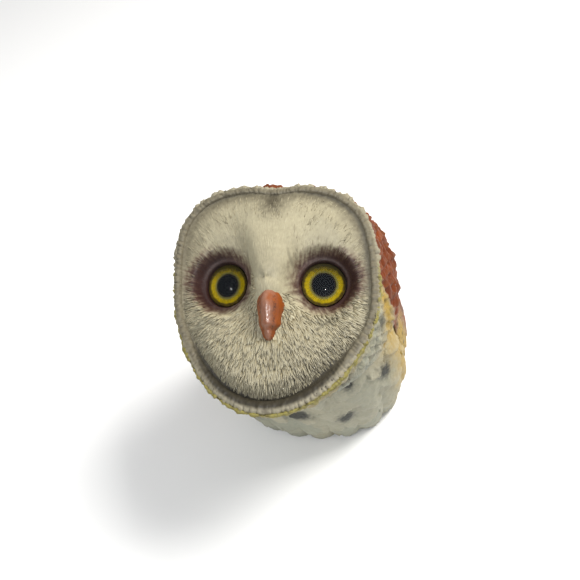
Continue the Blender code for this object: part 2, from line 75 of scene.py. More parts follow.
# ---- carving of the face, mm
GROOVE_INSET = (2.9, 2.3)  # from the crest at the brow, and how much more at the chin
GROOVE_HALF_WIDTH = 1.9
BRIDGE_HEIGHT = 6.3
BRIDGE_HALF_WIDTH = 5.6
BRIDGE_FLARE = 0.65  # how much wider it is at the brow, as a share
BRIDGE_FALL = 0.62  # how much lower it is at the brow, as a share
BRIDGE_POWER = 3.6  # of the flat-topped bell across it
SOCKET_DEPTH = 2.7
SOCKET_RADIUS = 10.0
MOUNDS = (  # middle, half-sizes and height of each cheek and each brow
    ((10, -20), (9, 9), 1.5),
    ((12.5, 15.5), (8, 7), 0.9),
)
LID = (0.95, 0.22)  # rise over the iris at the dome's edge, and slope outwards from there
LID_SPAN = (7.4, 11.0)  # from the eye's middle, where the lid runs out into the face
SOCKET_WALL = (6.4, 6.95)
SOCKET_FLOOR = 1.5
FACE_TUCK = np.array([(0.97, 1.2), (0.95, 4.0), (0.5, 6.0)])  # share of the reach, and how far back
SLOPE_STEP = 0.15
BRISTLE_COUNT = 11000
BRISTLE_STATIONS = (0.0, 0.35, 0.72)  # shares of a bristle's length where it has a ring
HAIR_SOFTENING = 1e-3  # keeps a spring's own point finite

# ---- eyes, mm
EYE_X = 14.7
EYE_Y = -0.4
EYE_LEVEL = 2.5
EYE_SPLAY = math.radians(9)
PUPIL_MIDDLE = 0.9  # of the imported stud, behind the iris's front
DOME_RADIUS = 7.0
DOME_EDGE = 0.95
DOME_RISE = 4.0
DOME_FLOOR = 0.36
IRIS_RADIUS = 6.35
IRIS_HOLE = 3.2
IRIS_BACK = -0.8
PUPIL_RADIUS = 3.45
MAROON_AIM = (1.6, 1.1)  # how far the spray's middle lies outwards and up from the eye's

# ---- body, mm
BODY_BEHIND_HEAD = 14.0
BODY_BELOW_HEAD = 48.0
BODY_LEAN = math.radians(74)
BODY_HALF_WIDTH = 32.7
BODY_CHEST = 29.0
BODY_BACK = 32.0
BODY_ABOVE = 44.0
BODY_BELOW = 50.0
BODY_FULLNESS = 0.5
BODY_SQUARENESS = 2.4
BODY_FLAT = 1.3
BODY_GIRTH_ARC = 118.0  # from the top pole to the bottom one, over which feather rows are counted

# ---- beak, mm in the head's frame
BEAK_MIDDLE = (0.85, -9.3)
BEAK_HALF_LENGTH = 8.6
BEAK_HALF_WIDTH = 4.3
BEAK_REACH = (7.2, 2.2)  # of the front and of the back
BEAK_LEVEL = (8.6, 7.4)  # at the root and at the tip
HOOK_SPAN = (0.64, 0.74)  # shares of the length

# ---- wings, tail and feet, mm and degrees
WING_SPAN = (0.305, 0.705)  # shares of the way down the body
WING_HALF_ANGLE = 42
WING_MIDDLE = (38, 15)  # degrees round, and how much more at the tip
WING_RISE = (0.15, 1.4)
WING_ARC = 50.0  # along it, over which feather rows are counted
COVERT_END = 26.0
PRIMARY_LENGTH = 13.0
TAIL_FEATHERS = 5
TAIL_REACH = (26.0, 51.2)
TAIL_FAN = math.radians(44)
TAIL_HALF_WIDTH = 3.9
TAIL_LOW = 4.4
TAIL_SLOPE = math.asin((17.0 - TAIL_LOW) / 32)
TOE_SPREAD = math.radians(24)
TOE_LENGTH = 10.6
TOE_RADIUS = 1.45
CLAW_RADIUS = 0.75
CLAW_SPAN = (0.74, 0.80)  # shares of the toe
FOOT_X = 9.0
HEEL_AHEAD = 7.5
GROUND_GAP = 0.3


# ---------------------------------------------------------------- numbers on arrays


def smoothstep(low, high, value):
    """0 below low, 1 above high, and 3s^2 - 2s^3 between."""
    share = np.clip((value - low) / (high - low), 0, 1)
    return share * share * (3 - 2 * share)


def bump(value, width):
    """A bell: exp(-(value / width)^2)."""
    return np.exp(-((value / width) ** 2))


def mix(a, b, share):
    return a + (b - a) * share


def ring(columns, start=0.0):
    """Angles once round, as one row."""
    return np.linspace(start, start + math.tau, columns, endpoint=False)[None, :]


def shares(rows, first=0.0, last=1.0):
    """Evenly spaced numbers, as one column."""
    return np.linspace(first, last, rows)[:, None]


def triple(*parts):
    """Three arrays or numbers, spread to one shape and paired up as points."""
    return np.stack(np.broadcast_arrays(*parts), axis=-1)


def side_degrees(points):
    """Degrees round from the owl's side towards its own +y, the same on the left and right."""
    return np.degrees(np.arctan2(points[..., 1], np.abs(points[..., 0])))


GRADIENTS = rng.normal(size=(256, 3))
GRADIENTS /= np.linalg.norm(GRADIENTS, axis=1)[:, None]
SHUFFLE = rng.permutation(256)


def noise(points, seed=0):
    """Gradient noise: at each corner of a unit cell, a fixed random slope, blended by a quintic."""
    points = np.asarray(points, float)
    cell = np.floor(points).astype(np.int64)
    inside = points - cell
    ease = inside**3 * (inside * (inside * 6 - 15) + 10)
    total = np.zeros(points.shape[:-1])
    for corner in np.ndindex(2, 2, 2):
        at = cell + corner
        key = SHUFFLE[(at[..., 0] + seed * 17) & 255]
        key = SHUFFLE[(key + at[..., 1]) & 255]
        key = SHUFFLE[(key + at[..., 2]) & 255]
        weight = np.prod(np.where(corner, ease, 1 - ease), axis=-1)
        total += weight * np.sum(GRADIENTS[key] * (inside - corner), axis=-1)
    return total


def cell_random(*whole, seed=0):
    """A repeatable random number from 0 to 1 for each set of whole numbers."""
    key = np.full(np.shape(whole[0]), seed * 31 & 255)
    for part in whole:
        key = SHUFFLE[(key + np.asarray(part).astype(np.int64)) & 255]
    return key / 255


def feather_rows(across, along, overlap=0.55):
    """Rows of round-ended feathers, each row lapping over the start of the next.

    across counts feathers and along counts rows, towards the tips. A feather of row r starts at r
    and ends at r + 1 + overlap, less a parabola of its offset from its own shaft. Where two rows
    cover a point, the earlier one lies on top. Gives height (0 at the root, 1 at the tip), offset
    from the shaft (-1 to 1), and a random number for each feather.
    """
    across, along = np.broadcast_arrays(across, along)
    height = np.zeros(across.shape)
    offset = np.zeros(across.shape)
    tone = np.zeros(across.shape)
    covered = np.zeros(across.shape, bool)
    for earlier in (1, 0):
        row = np.floor(along) - earlier
        shifted = across - 0.5 * (row % 2) + 0.24 * (cell_random(row, seed=3) - 0.5)
        which = np.floor(shifted)
        aside = 2 * (shifted - which) - 1
        chance = cell_random(row, which, seed=5)
        length = 1 + overlap * (1 + 0.35 * (chance - 0.5)) - 0.62 * aside**2
        share = (along - row) / np.maximum(length, 0.05)
        here = (share < 1) & ~covered if earlier else ~covered
        height = np.where(here, np.clip(share, 0, 1), height)
        offset = np.where(here, aside, offset)
        tone = np.where(here, chance, tone)
        covered |= here
    return height, offset, tone


# ---------------------------------------------------------------- frames and meshes


def frame_axes(pitch):
    """Rows are across, up and out, for an out axis raised by pitch from -Y."""
    sine, cosine = math.sin(pitch), math.cos(pitch)
    return np.array([[1, 0, 0], [0, sine, cosine], [0, -cosine, sine]])


HEAD_AXES = frame_axes(HEAD_PITCH)
BODY_AXES = frame_axes(BODY_LEAN)
pupil_corners = [np.array(corner) for side in ("left", "right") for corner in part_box(f"pupil_{side}")]
pupils_middle = np.mean(pupil_corners, axis=0) / MM
eye_offset = np.array([0, EYE_Y, EYE_LEVEL - PUPIL_MIDDLE * math.cos(EYE_SPLAY)])
HEAD_CENTRE = pupils_middle - eye_offset @ HEAD_AXES
BODY_CENTRE = HEAD_CENTRE + (0, BODY_BEHIND_HEAD, -BODY_BELOW_HEAD)


def head_to_world(points):
    return points @ HEAD_AXES + HEAD_CENTRE


def body_to_world(points):
    return points @ BODY_AXES + BODY_CENTRE


def eye_to_world(points, side):
    """The eye's own z leans outwards from the head's by the splay."""
    sine, cosine = math.sin(side * EYE_SPLAY), math.cos(EYE_SPLAY)
    turn = np.array([[cosine, 0, -sine], [0, 1, 0], [sine, 0, cosine]])
    return head_to_world(points @ turn + (side * EYE_X, EYE_Y, EYE_LEVEL))


def outward_normals(points):
    """Unit normals of a grid that closes around its columns, turned away from its middle."""
    down = np.gradient(points, axis=0)
    around = np.roll(points, -1, axis=1) - np.roll(points, 1, axis=1)
    normals = np.cross(down, around)
    normals = normals / np.maximum(np.linalg.norm(normals, axis=-1, keepdims=True), 1e-9)
    outward = np.sum(normals * (points - points.mean((0, 1)))) > 0
    return normals if outward else -normals


def closed_surface(name, points, material, slot, replaces=(), **attributes):
    """A grid of world points, closed around its columns, with a pole at each end of its rows.

    Each pole is the mean of its row. The faces are turned outwards by the sign of the volume.
    Attributes are one number, or three, for each grid point, or one number for all of them.
    """
    rows, columns = points.shape[:2]
    vertices = np.concatenate([points.reshape(-1, 3), points[:1].mean(1), points[-1:].mean(1)])
    index = np.arange(rows * columns).reshape(rows, columns)
    after = np.roll(index, -1, axis=1)
    quads = np.stack([index[:-1], index[1:], after[1:], after[:-1]], axis=-1).reshape(-1, 4)
    first, last = rows * columns, rows * columns + 1
    start = np.stack([np.full(columns, first), index[0], after[0]], axis=-1)
    end = np.stack([np.full(columns, last), after[-1], index[-1]], axis=-1)
    corners = vertices[quads]
    volume = np.sum(corners[:, 0] * np.cross(corners[:, 1], corners[:, 2] + corners[:, 3]))
    if volume < 0:
        quads, start, end = quads[:, ::-1], start[:, ::-1], end[:, ::-1]
    loops = np.concatenate([quads.ravel(), start.ravel(), end.ravel()])
    sizes = np.concatenate([np.full(len(quads), 4), np.full(2 * columns, 3)])
    made = mesh_object(name, vertices, loops, sizes, material, replaces)
    for label, values in attributes.items():
        values = np.broadcast_to(values, (rows, columns, *np.shape(values)[2:])).reshape(rows, columns, -1)
        poles = [values[0].mean(0), values[-1].mean(0)]
        store(made, label, np.concatenate([values.reshape(rows * columns, -1), poles]))


def mesh_object(name, vertices, loops, sizes, material, replaces=()):
    """A smooth mesh from world points in mm, riding on the body."""
    mesh = bpy.data.meshes.new(name)
    mesh.vertices.add(len(vertices))
    mesh.vertices.foreach_set("co", (vertices * MM).astype(np.float32).ravel())
    mesh.loops.add(len(loops))
    mesh.loops.foreach_set("vertex_index", loops.astype(np.int32))
    mesh.polygons.add(len(sizes))
    starts = np.concatenate([[0], np.cumsum(sizes)[:-1]]).astype(np.int32)
    mesh.polygons.foreach_set("loop_start", starts)
    mesh.update(calc_edges=True)
    mesh.shade_smooth()
    made = bpy.data.objects.new(name, mesh)
    bpy.context.scene.collection.objects.link(made)
    mesh.materials.append(material)
    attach(made, "root")
    if replaces:
        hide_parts(*replaces)
    return made


def store(made, label, values):
    kind, key = ("FLOAT", "value") if values.shape[1] == 1 else ("FLOAT_VECTOR", "vector")
    layer = made.data.attributes.new(label, kind, "POINT")
    layer.data.foreach_set(key, values.astype(np.float32).ravel())


# ---------------------------------------------------------------- the face


def superellipse(angle, half_width, top, bottom, powers):
    """(|cos/a|^n + |sin/b|^n)^(-1/n), with n and b changing from the lower half to the upper."""
    upward = smoothstep(-0.6, 0.6, np.sin(angle))
    power = mix(powers[0], powers[1], upward)
    height = np.where(np.sin(angle) > 0, top, bottom)
    across = np.abs(np.cos(angle) / half_width) ** power
    return (across + np.abs(np.sin(angle) / height) ** power) ** (-1 / power)


def face_outline(angle):
    """The ruff's crest: the superellipse, cleft at the brow, a little uneven as carved by hand."""
    depth, spread = BROW_CLEFT
    from_top = (angle + math.pi / 2) % math.tau - math.pi
    plain = superellipse(angle, FACE_HALF_WIDTH, FACE_TOP, FACE_BOTTOM, FACE_SQUARENESS)
    uneven = 1 - LOPSIDED[0] * np.sin(2 * angle) + LOPSIDED[1] * np.cos(3 * angle)
    uneven = uneven - LOPSIDED[1] * np.sin(4 * angle)
    return plain * (1 - depth * bump(from_top, spread)) * uneven


def rim_height(angle):
    return RIM_HEIGHT - RIM_SETBACK * np.cos(angle) ** 2


def chin_share(angle):
    """1 at the chin, 0 above the cheeks."""
    return smoothstep(-0.3, -0.95, np.sin(angle))


def groove_inset(angle):
    at_brow, more_at_chin = GROOVE_INSET
    return at_brow + more_at_chin * chin_share(angle)


def past_groove(x, y):
    """How far a point of the face lies inside the ruff's groove."""
    bearing = np.arctan2(y, x)
    return face_outline(bearing) - np.hypot(x, y) - groove_inset(bearing)


def face_form(x, y):
    """The face before carving: a low dish with a tall bridge, full cheeks and two sunk eyes."""
    angle = np.arctan2(y, x)
    chin = chin_share(angle)
    outline = face_outline(angle)
    reach = np.hypot(x, y)
    inward = outline - reach
    share = np.clip(reach / outline, 0, 1)
    groove = bump(inward - groove_inset(angle), GROOVE_HALF_WIDTH)
    height = rim_height(angle) + 0.6 * (1 - share**2)
    height = height - GROOVE_DEPTH * mix(0.5, 1.0, chin) * groove
    height = height + 0.9 * smoothstep(5.0, 9.5, inward - 1.2 * chin)
    brow_fall = 1 - BRIDGE_FALL * smoothstep(1, 22, y)
    chin_fall = smoothstep(-16, -1, y)
    flare = BRIDGE_HALF_WIDTH * (1 + BRIDGE_FLARE * smoothstep(-2, 20, y))
    ridge = np.exp(-np.abs(x / flare) ** BRIDGE_POWER)
    height = height + BRIDGE_HEIGHT * ridge * brow_fall * chin_fall * (1 - share**4)
    for side in (-1, 1):
        away = np.hypot(x - side * EYE_X, (y - EYE_Y) * 1.05)
        height = height - SOCKET_DEPTH * bump(away, SOCKET_RADIUS)
        for (aside, up), (wide, tall), rise in MOUNDS:
            height = height + rise * bump(x - side * aside, wide) * bump(y - up, tall)
    return height


def eye_distance(x, y, side):
    return np.hypot((x - side * EYE_X) / math.cos(EYE_SPLAY), y - EYE_Y)


def face_height(x, y):
    """The carved form with the eyes let in: a funnel of skin down to each dome, then its socket."""
    height = face_form(x, y)
    for side in (-1, 1):
        away = eye_distance(x, y, side)
        plane = EYE_LEVEL - side * (x - side * EYE_X) * math.tan(EYE_SPLAY)
        funnel = plane + LID[0] + LID[1] * (away - DOME_RADIUS)
        height = mix(funnel, height, smoothstep(*LID_SPAN, away))
        height = mix(plane - SOCKET_FLOOR, height, smoothstep(*SOCKET_WALL, away))
    return height


SPRINGS = ((-EYE_X, EYE_Y, 1.0), (EYE_X, EYE_Y, 1.0), (0.0, -6.0, 1.5))  # place and strength m


def hair_flow(x, y):
    """Hair springs from the two eyes and the beak, as water would from three springs.

    P = sum of m log r runs along the hair and Q = sum of m theta across it. Gives P, Q and the
    unit direction of growth, which is the slope of P.
    """
    along = np.zeros(np.shape(x))
    across = np.zeros(np.shape(x))
    slope_x = np.zeros(np.shape(x))
    slope_y = np.zeros(np.shape(x))
    for spring_x, spring_y, strength in SPRINGS:
        dx, dy = x - spring_x, y - spring_y
        square = dx**2 + dy**2 + HAIR_SOFTENING
        along += strength * np.log(square) / 2
        across += strength * np.arctan2(dy, dx)
        slope_x += strength * dx / square
        slope_y += strength * dy / square
    size = np.hypot(slope_x, slope_y) + 1e-6
    return along, across, slope_x / size, slope_y / size


def hair_space(x, y, fineness, stretch):
    """Points whose plain noise draws strokes along the hair.

    Q is wrapped round a circle. Every spring's strength is a whole number of quarters, so four
    turns of Q close without a seam.
    """
    along, across, _, _ = hair_flow(x, y)
    turn = 4 * across
    return triple(np.cos(turn) * fineness, np.sin(turn) * fineness, along * stretch)


def strokes(x, y, fineness, stretch, seed):
    return noise(hair_space(x, y, fineness, stretch), seed)


def bristle_patch(name, roots, directions, normals, length, width, lift, material, slot, **values):
    """Tapered three-sided bristles: a spine that leaves the skin and bends back to its tip.

    At share t along a bristle its spine is root + direction t L + normal lift t(2-t), and its
    width is w sqrt(1-t) (0.6 + 0.4 sin(pi t)). Each has three rings of three points, and a tip.
    """
    count = len(roots)
    side = np.cross(directions, normals)
    share = np.array(BRISTLE_STATIONS)
    spines = roots[:, None] + directions[:, None] * share[None, :, None] * length[:, None, None]
    spines = spines + normals[:, None] * (lift[:, None] * share * (2 - share))[..., None]
    girth = (width[:, None] * np.sqrt(1 - share) * (0.6 + 0.4 * np.sin(math.pi * share)))[..., None]
    left = spines + side[:, None] * girth - normals[:, None] * 0.25 * girth
    right = spines - side[:, None] * girth - normals[:, None] * 0.25 * girth
    crest = spines + normals[:, None] * girth * 0.9
    rings = np.stack([left, crest, right], axis=2).reshape(count, 9, 3)
    tips = (roots + directions * length[:, None] + normals * lift[:, None])[:, None]
    vertices = np.concatenate([rings, tips], axis=1).reshape(-1, 3)
    faces = [(0, 2, 1)]
    for low in (0, 3):
        for k in range(3):
            a, b = low + k, low + (k + 1) % 3
            faces += [(a, b, b + 3), (a, b + 3, a + 3)]
    faces += [(6, 7, 9), (7, 8, 9), (8, 6, 9)]
    loops = (np.arange(count)[:, None, None] * 10 + np.array(faces)[None]).reshape(-1, 3)
    corners = vertices[loops[: len(faces)]] - vertices[:10].mean(0)
    volume = np.sum(corners[:, 0] * np.cross(corners[:, 1], corners[:, 2]))
    if volume < 0:
        loops = loops[:, ::-1]
    made = mesh_object(name, vertices, loops.ravel(), np.full(len(loops), 3), material)
    station = np.tile(np.repeat([*BRISTLE_STATIONS, 1], [3, 3, 3, 1]), count)
    store(made, "station", station[:, None])
    for label, value in values.items():
        store(made, label, np.repeat(value, 10)[:, None])


# ---------------------------------------------------------------- shader groups


def new_group(name, inputs, outputs):
    """An empty group, the sockets its nodes read and the sockets they must fill."""
    group = bpy.data.node_groups.new(name, "ShaderNodeTree")
    for label, kind, value in inputs:
        socket = group.interface.new_socket(label, in_out="INPUT", socket_type=f"NodeSocket{kind}")
        if value is not None:
            socket.default_value = value
    for label, kind in outputs:
        group.interface.new_socket(label, in_out="OUTPUT", socket_type=f"NodeSocket{kind}")
    inside = group.nodes.new("NodeGroupInput").outputs
    return group, inside, group.nodes.new("NodeGroupOutput").inputs


class Graph:
    """Short ways to add and join nodes in one tree."""

    def __init__(self, tree):
        self.tree = tree

    def add(self, kind, settings=None, **links):
        node = self.tree.nodes.new(kind)
        for key, value in (settings or {}).items():
            setattr(node, key, value)
        for key, value in links.items():
            self.plug(node.inputs[key.replace("_", " ")], value)
        return node

    def plug(self, socket, value):
        if isinstance(value, bpy.types.NodeSocket):
            self.tree.links.new(value, socket)
        else:
            socket.default_value = value

    def math(self, operation, a, b=0.0, clamp=False):
        node = self.tree.nodes.new("ShaderNodeMath")
        node.operation = operation
        node.use_clamp = clamp
        self.plug(node.inputs[0], a)
        self.plug(node.inputs[1], b)
        return node.outputs[0]

    def times(self, a, b, clamp=False):
        return self.math("MULTIPLY", a, b, clamp)

    def blend(self, share, a, b):
        node = self.tree.nodes.new("ShaderNodeMix")
        node.data_type = "RGBA"
        self.plug(node.inputs[0], share)
        self.plug(node.inputs[6], a)
        self.plug(node.inputs[7], b)
        return node.outputs[2]

    def span(self, value, low, high, to_low=0.0, to_high=1.0):
        node = self.tree.nodes.new("ShaderNodeMapRange")
        node.interpolation_type = "SMOOTHSTEP"
        for socket, part in zip(node.inputs, (value, low, high, to_low, to_high)):
            self.plug(socket, part)
        return node.outputs[0]

    def noise(self, vector, scale, detail=3.0, roughness=0.55):
        node = self.add("ShaderNodeTexNoise", Scale=scale, Detail=detail, Roughness=roughness)
        self.plug(node.inputs["Vector"], vector)
        return node.outputs["Fac"]

    def attribute(self, name, output="Fac"):
        return self.add("ShaderNodeAttribute", {"attribute_name": name}).outputs[output]


def airbrush_group():
    """Sprays Paint over Base: the mask's soft edge is broken up by fine speckle."""
    group, start, end = new_group(
        "airbrush",
        [
            ("Base", "Color", None),
            ("Paint", "Color", None),
            ("Mask", "Float", 0.0),
            ("Grain", "Float", 0.25),
            ("Vector", "Vector", None),
        ],
        [("Color", "Color")],
    )
    g = Graph(group)
    coarse = g.noise(start["Vector"], 900.0, 2.0)
    speckle = g.times(g.math("SUBTRACT", coarse, 0.5), start["Grain"])
    soft = g.times(start["Mask"], g.math("SUBTRACT", 1.0, start["Mask"]))
    broken = g.times(speckle, g.times(soft, 8.0))
    share = g.math("ADD", start["Mask"], broken, clamp=True)
    g.plug(end["Color"], g.blend(share, start["Base"], start["Paint"]))
    return group


def carved_group():
    """Dark wash left in the grooves and a dry-brushed light on the ridges, patchy as by hand."""
    group, start, end = new_group(
        "carved_wash",
        [
            ("Color", "Color", None),
            ("Relief", "Float", 0.5),
            ("Wash", "Color", None),
            ("Wash Amount", "Float", 0.5),
            ("Brush", "Color", None),
            ("Brush Amount", "Float", 0.3),
            ("Vector", "Vector", None),
        ],
        [("Color", "Color")],
    )
    g = Graph(group)
    patch = g.span(g.noise(start["Vector"], 120.0, 3.0), 0.3, 0.7, 0.6, 1.0)
    deep = g.span(start["Relief"], 0.5, 0.12)
    wash = g.times(g.times(deep, patch), start["Wash Amount"])
    washed = g.blend(wash, start["Color"], start["Wash"])
    high = g.span(start["Relief"], 0.55, 0.95)
    brush = g.times(g.times(high, patch), start["Brush Amount"])
    g.plug(end["Color"], g.blend(brush, washed, start["Brush"]))
    return group


def casting_group():
    """What every cast and sprayed face shows: pinholes, faint orange peel and uneven gloss."""
    group, start, end = new_group(
        "casting",
        [
            ("Color", "Color", None),
            ("Height", "Float", 0.0),
            ("Rough", "Float", 0.55),
            ("Vector", "Vector", None),
        ],
        [("Color", "Color"), ("Height", "Float"), ("Rough", "Float")],
    )
    g = Graph(group)
    vector = start["Vector"]
    cells = g.add("ShaderNodeTexVoronoi", Vector=vector, Scale=210.0)
    chance = g.add("ShaderNodeSeparateColor", Color=cells.outputs["Color"]).outputs[0]
    rare = g.math("GREATER_THAN", chance, 0.93)
    hole = g.times(g.span(cells.outputs["Distance"], 0.085, 0.05), rare)
    dark = g.blend(g.times(hole, 0.8), start["Color"], (0.03, 0.02, 0.015, 1))
    peel = g.noise(vector, 2600.0, 2.0)
    tone = g.noise(vector, 260.0, 3.0)
    shade = g.span(tone, 0.25, 0.75, 0.93, 1.05)
    lit = g.add("ShaderNodeVectorMath", {"operation": "SCALE"}, Vector=dark, Scale=shade)
    g.plug(end["Color"], lit.outputs[0])
    height = g.math("ADD", start["Height"], g.times(peel, 0.05))
    g.plug(end["Height"], g.math("SUBTRACT", height, hole))
    rough = g.math("ADD", start["Rough"], g.times(g.math("SUBTRACT", tone, 0.5), 0.25))
    g.plug(end["Rough"], rough)
    return group


AIRBRUSH = airbrush_group()
CARVED = carved_group()
CASTING = casting_group()
BUMP_STRENGTH = 0.7


class Finish:
    """One material: colours are laid over each other, then the casting's own marks go on top."""

    def __init__(self, name, base):
        self.material = bpy.data.materials.new(name)
        self.material.use_nodes = True
        self.g = Graph(self.material.node_tree)
        self.shader = self.material.node_tree.nodes["Principled BSDF"]
        self.where = self.g.add("ShaderNodeTexCoord").outputs["Object"]
        self.color = (*base, 1)

    def lay(self, group, **values):
        """Place a group whose inputs take the values, with its pattern on the piece's own place."""
        return self.g.add("ShaderNodeGroup", {"node_tree": group}, Vector=self.where, **values)

    def spray(self, mask, paint, amount=1.0, grain=0.3):
        share = self.g.attribute(mask) if isinstance(mask, str) else mask
        share = self.g.times(share, amount, clamp=True)
        node = self.lay(AIRBRUSH, Base=self.color, Paint=(*paint, 1), Mask=share, Grain=grain)
        self.color = node.outputs[0]

    def carve(self, relief, wash, wash_amount, brush, brush_amount):
        node = self.lay(
            CARVED, Color=self.color, Relief=relief, Wash=(*wash, 1), Wash_Amount=wash_amount,
            Brush=(*brush, 1), Brush_Amount=brush_amount,
        )
        self.color = node.outputs[0]

    def close(self, rough, height=0.0, depth=0.12, coat=0.0, gloss=0.3):
        node = self.lay(CASTING, Color=self.color, Height=height, Rough=rough)
        self.g.plug(self.shader.inputs["Base Color"], node.outputs["Color"])
        self.g.plug(self.shader.inputs["Roughness"], node.outputs["Rough"])
        raised = self.g.add("ShaderNodeBump", Strength=BUMP_STRENGTH, Distance=depth * MM)
        self.g.plug(raised.inputs["Height"], node.outputs["Height"])
        self.g.plug(self.shader.inputs["Normal"], raised.outputs["Normal"])
        self.shader.inputs["Coat Weight"].default_value = coat
        self.shader.inputs["Specular IOR Level"].default_value = gloss
        return self.material


CREAM = (0.408, 0.370, 0.250)
SHADOW_CREAM = (0.150, 0.124, 0.072)
PALE = (0.41, 0.38, 0.29)
MAROON = (0.0255, 0.0083, 0.0062)
BLUSH = (0.062, 0.022, 0.015)
TAUPE = (0.074, 0.062, 0.039)
# painted shade, darkest in the chin's groove
DEEP_SHADE = (0.022, 0.018, 0.011)
PALE_RIM = (0.255, 0.230, 0.165)
RUST = (0.148, 0.031, 0.006)
DEEP_RUST = (0.062, 0.015, 0.005)
GOLD = (0.275, 0.180, 0.028)
YELLOW_EDGE = (0.205, 0.178, 0.038)
SPOT = (0.013, 0.014, 0.011)
ICE = (0.185, 0.210, 0.175)
CHEST = (0.280, 0.262, 0.186)
# painted shade on the brow, on the bridge and beside it
PAINTED_FACE_SHADE = (0.125, 0.108, 0.072)
# painted reflection of each dome's glass rim, on the skin round its upper side
GLASS_RIM_REFLECTION = (0.12, 0.060, 0.046)
BRISTLE = (0.335, 0.300, 0.195)
BRISTLE_ROOT = (0.16, 0.128, 0.072)
BRISTLE_DULL = (0.25, 0.21, 0.13)
HOOD_WASH = (0.035, 0.019, 0.009)
HOOD_BRUSH = (0.25, 0.16, 0.08)
CHEST_WASH = (0.13, 0.11, 0.065)
ORANGE = (0.205, 0.050, 0.007)
ORANGE_STREAK = (0.150, 0.034, 0.008)
BEAK_RIDGE = (0.230, 0.110, 0.070)
BEAK_EDGE = (0.05, 0.02, 0.012)
IRIS = (0.285, 0.205, 0.003)
IRIS_RAY = (0.150, 0.118, 0.005)
IRIS_INNER = (0.075, 0.078, 0.030)
IRIS_LASH = (0.012, 0.010, 0.008)
IRIS_OUTER = (0.016, 0.010, 0.005)
IRIS_SHADE = (0.026, 0.022, 0.006)
PUPIL = (0.0040, 0.0052, 0.0066)
PUPIL_DUST = (0.0065, 0.0085, 0.0105)
FILM = (0.4, 0.4, 0.4)
FILM_SHARE = 0.6  # of a plain glass's mirroring
GLASS_IOR = 1.45
HORN = (0.36, 0.27, 0.14)
CLAW = (0.03, 0.024, 0.02)
HORN_WASH = (0.08, 0.05, 0.03)
HORN_BRUSH = (0.5, 0.42, 0.28)
FELT = (0.020, 0.070, 0.040)
FELT_FIBRE = (0.045, 0.12, 0.075)
RUBBER = (0.022, 0.022, 0.022)
RUBBER_DUST = (0.05, 0.05, 0.048)


def face_finish():
    f = Finish("face_cream", CREAM)
    fine = f.g.noise(f.g.attribute("hair", "Vector"), 1.0, 2.0, 0.6)
    carved = f.g.times(f.g.attribute("relief"), 0.6)
    relief = f.g.math("ADD", carved, f.g.times(fine, 0.4))
    f.carve(relief, SHADOW_CREAM, f.g.attribute("wash"), PALE, 0.6)
    # painted shade over the brow, on and beside the bridge, and in its creases
    f.spray("dusk", PAINTED_FACE_SHADE, 0.8, 0.2)
    f.spray("taupe", TAUPE, 0.9, 0.3)
    # painted shade in the chin's groove and a little in the brow's cleft
    f.spray("deep", DEEP_SHADE, 0.9, 0.3)
    f.spray("blush", BLUSH, 0.9, 0.5)
    f.spray("maroon", MAROON, 1.0, 0.4)
    # painted reflection of each dome's glass rim
    f.spray("lid_line", GLASS_RIM_REFLECTION, 0.5, 0.4)
    return f.close(0.58, f.g.times(fine, 1.6), 0.16)


def bristle_finish():
    f = Finish("face_bristle", BRISTLE)
    f.spray("station", PALE, 0.75, 0.2)
    root = f.g.math("SUBTRACT", 1.0, f.g.times(f.g.attribute("station"), 2.2), clamp=True)
    f.spray(root, BRISTLE_ROOT, 0.6, 0.2)
    f.spray("tone", BRISTLE_DULL, 0.6, 0.2)
    f.spray("taupe", TAUPE, 0.85, 0.3)
    f.spray("maroon", MAROON, 1.0, 0.3)
    return f.close(0.55, 0.0, 0.08)


def hood_finish():
    f = Finish("hood_feather", CHEST)
    f.spray("ice", ICE, 0.7, 0.3)
    f.spray("gold", GOLD, 0.9, 0.4)
    f.spray("rust", RUST, 1.0, 0.3)
    f.spray(f.g.times(f.g.attribute("tone"), f.g.attribute("rust")), DEEP_RUST, 0.6, 0.3)
    f.spray("spot", SPOT, 0.92, 0.5)
    f.spray("pale_rim", PALE_RIM, 0.9, 0.3)
    f.spray("line", YELLOW_EDGE, 0.9, 0.4)
    f.carve(f.g.attribute("relief"), HOOD_WASH, 0.6, HOOD_BRUSH, 0.16)
    # the dark band at the face's edge, with painted shade on the crest's sides
    f.spray("taupe", TAUPE, 0.85, 0.3)
    # painted shade deep in the chin's groove
    f.spray("deep", DEEP_SHADE, 0.9, 0.3)
    return f.close(0.6, f.g.attribute("barb"), 0.16, gloss=0.22)


def body_finish():
    f = Finish("chest_feather", CHEST)
    f.spray("ice", ICE, 0.7, 0.3)
    f.spray("gold", GOLD, 0.9, 0.4)
    f.spray("rust", RUST, 1.0, 0.3)
    relief = f.g.attribute("relief")
    f.carve(relief, CHEST_WASH, 0.6, PALE, f.g.attribute("brush"))
    f.spray("spot", SPOT, 0.94, 0.5)
    return f.close(0.6, f.g.attribute("barb"), 0.16, gloss=0.25)


def beak_finish():
    f = Finish("beak_orange", ORANGE)
    streak = f.g.noise(f.g.attribute("grain", "Vector"), 1.0, 3.0)
    f.spray(f.g.span(streak, 0.35, 0.7), ORANGE_STREAK, 0.5, 0.4)
    f.spray("ridge", BEAK_RIDGE, 0.85, 0.5)
    f.spray("edge", BEAK_EDGE, 0.85, 0.5)
    return f.close(0.36, f.g.times(streak, 0.9), 0.09, coat=0.08)


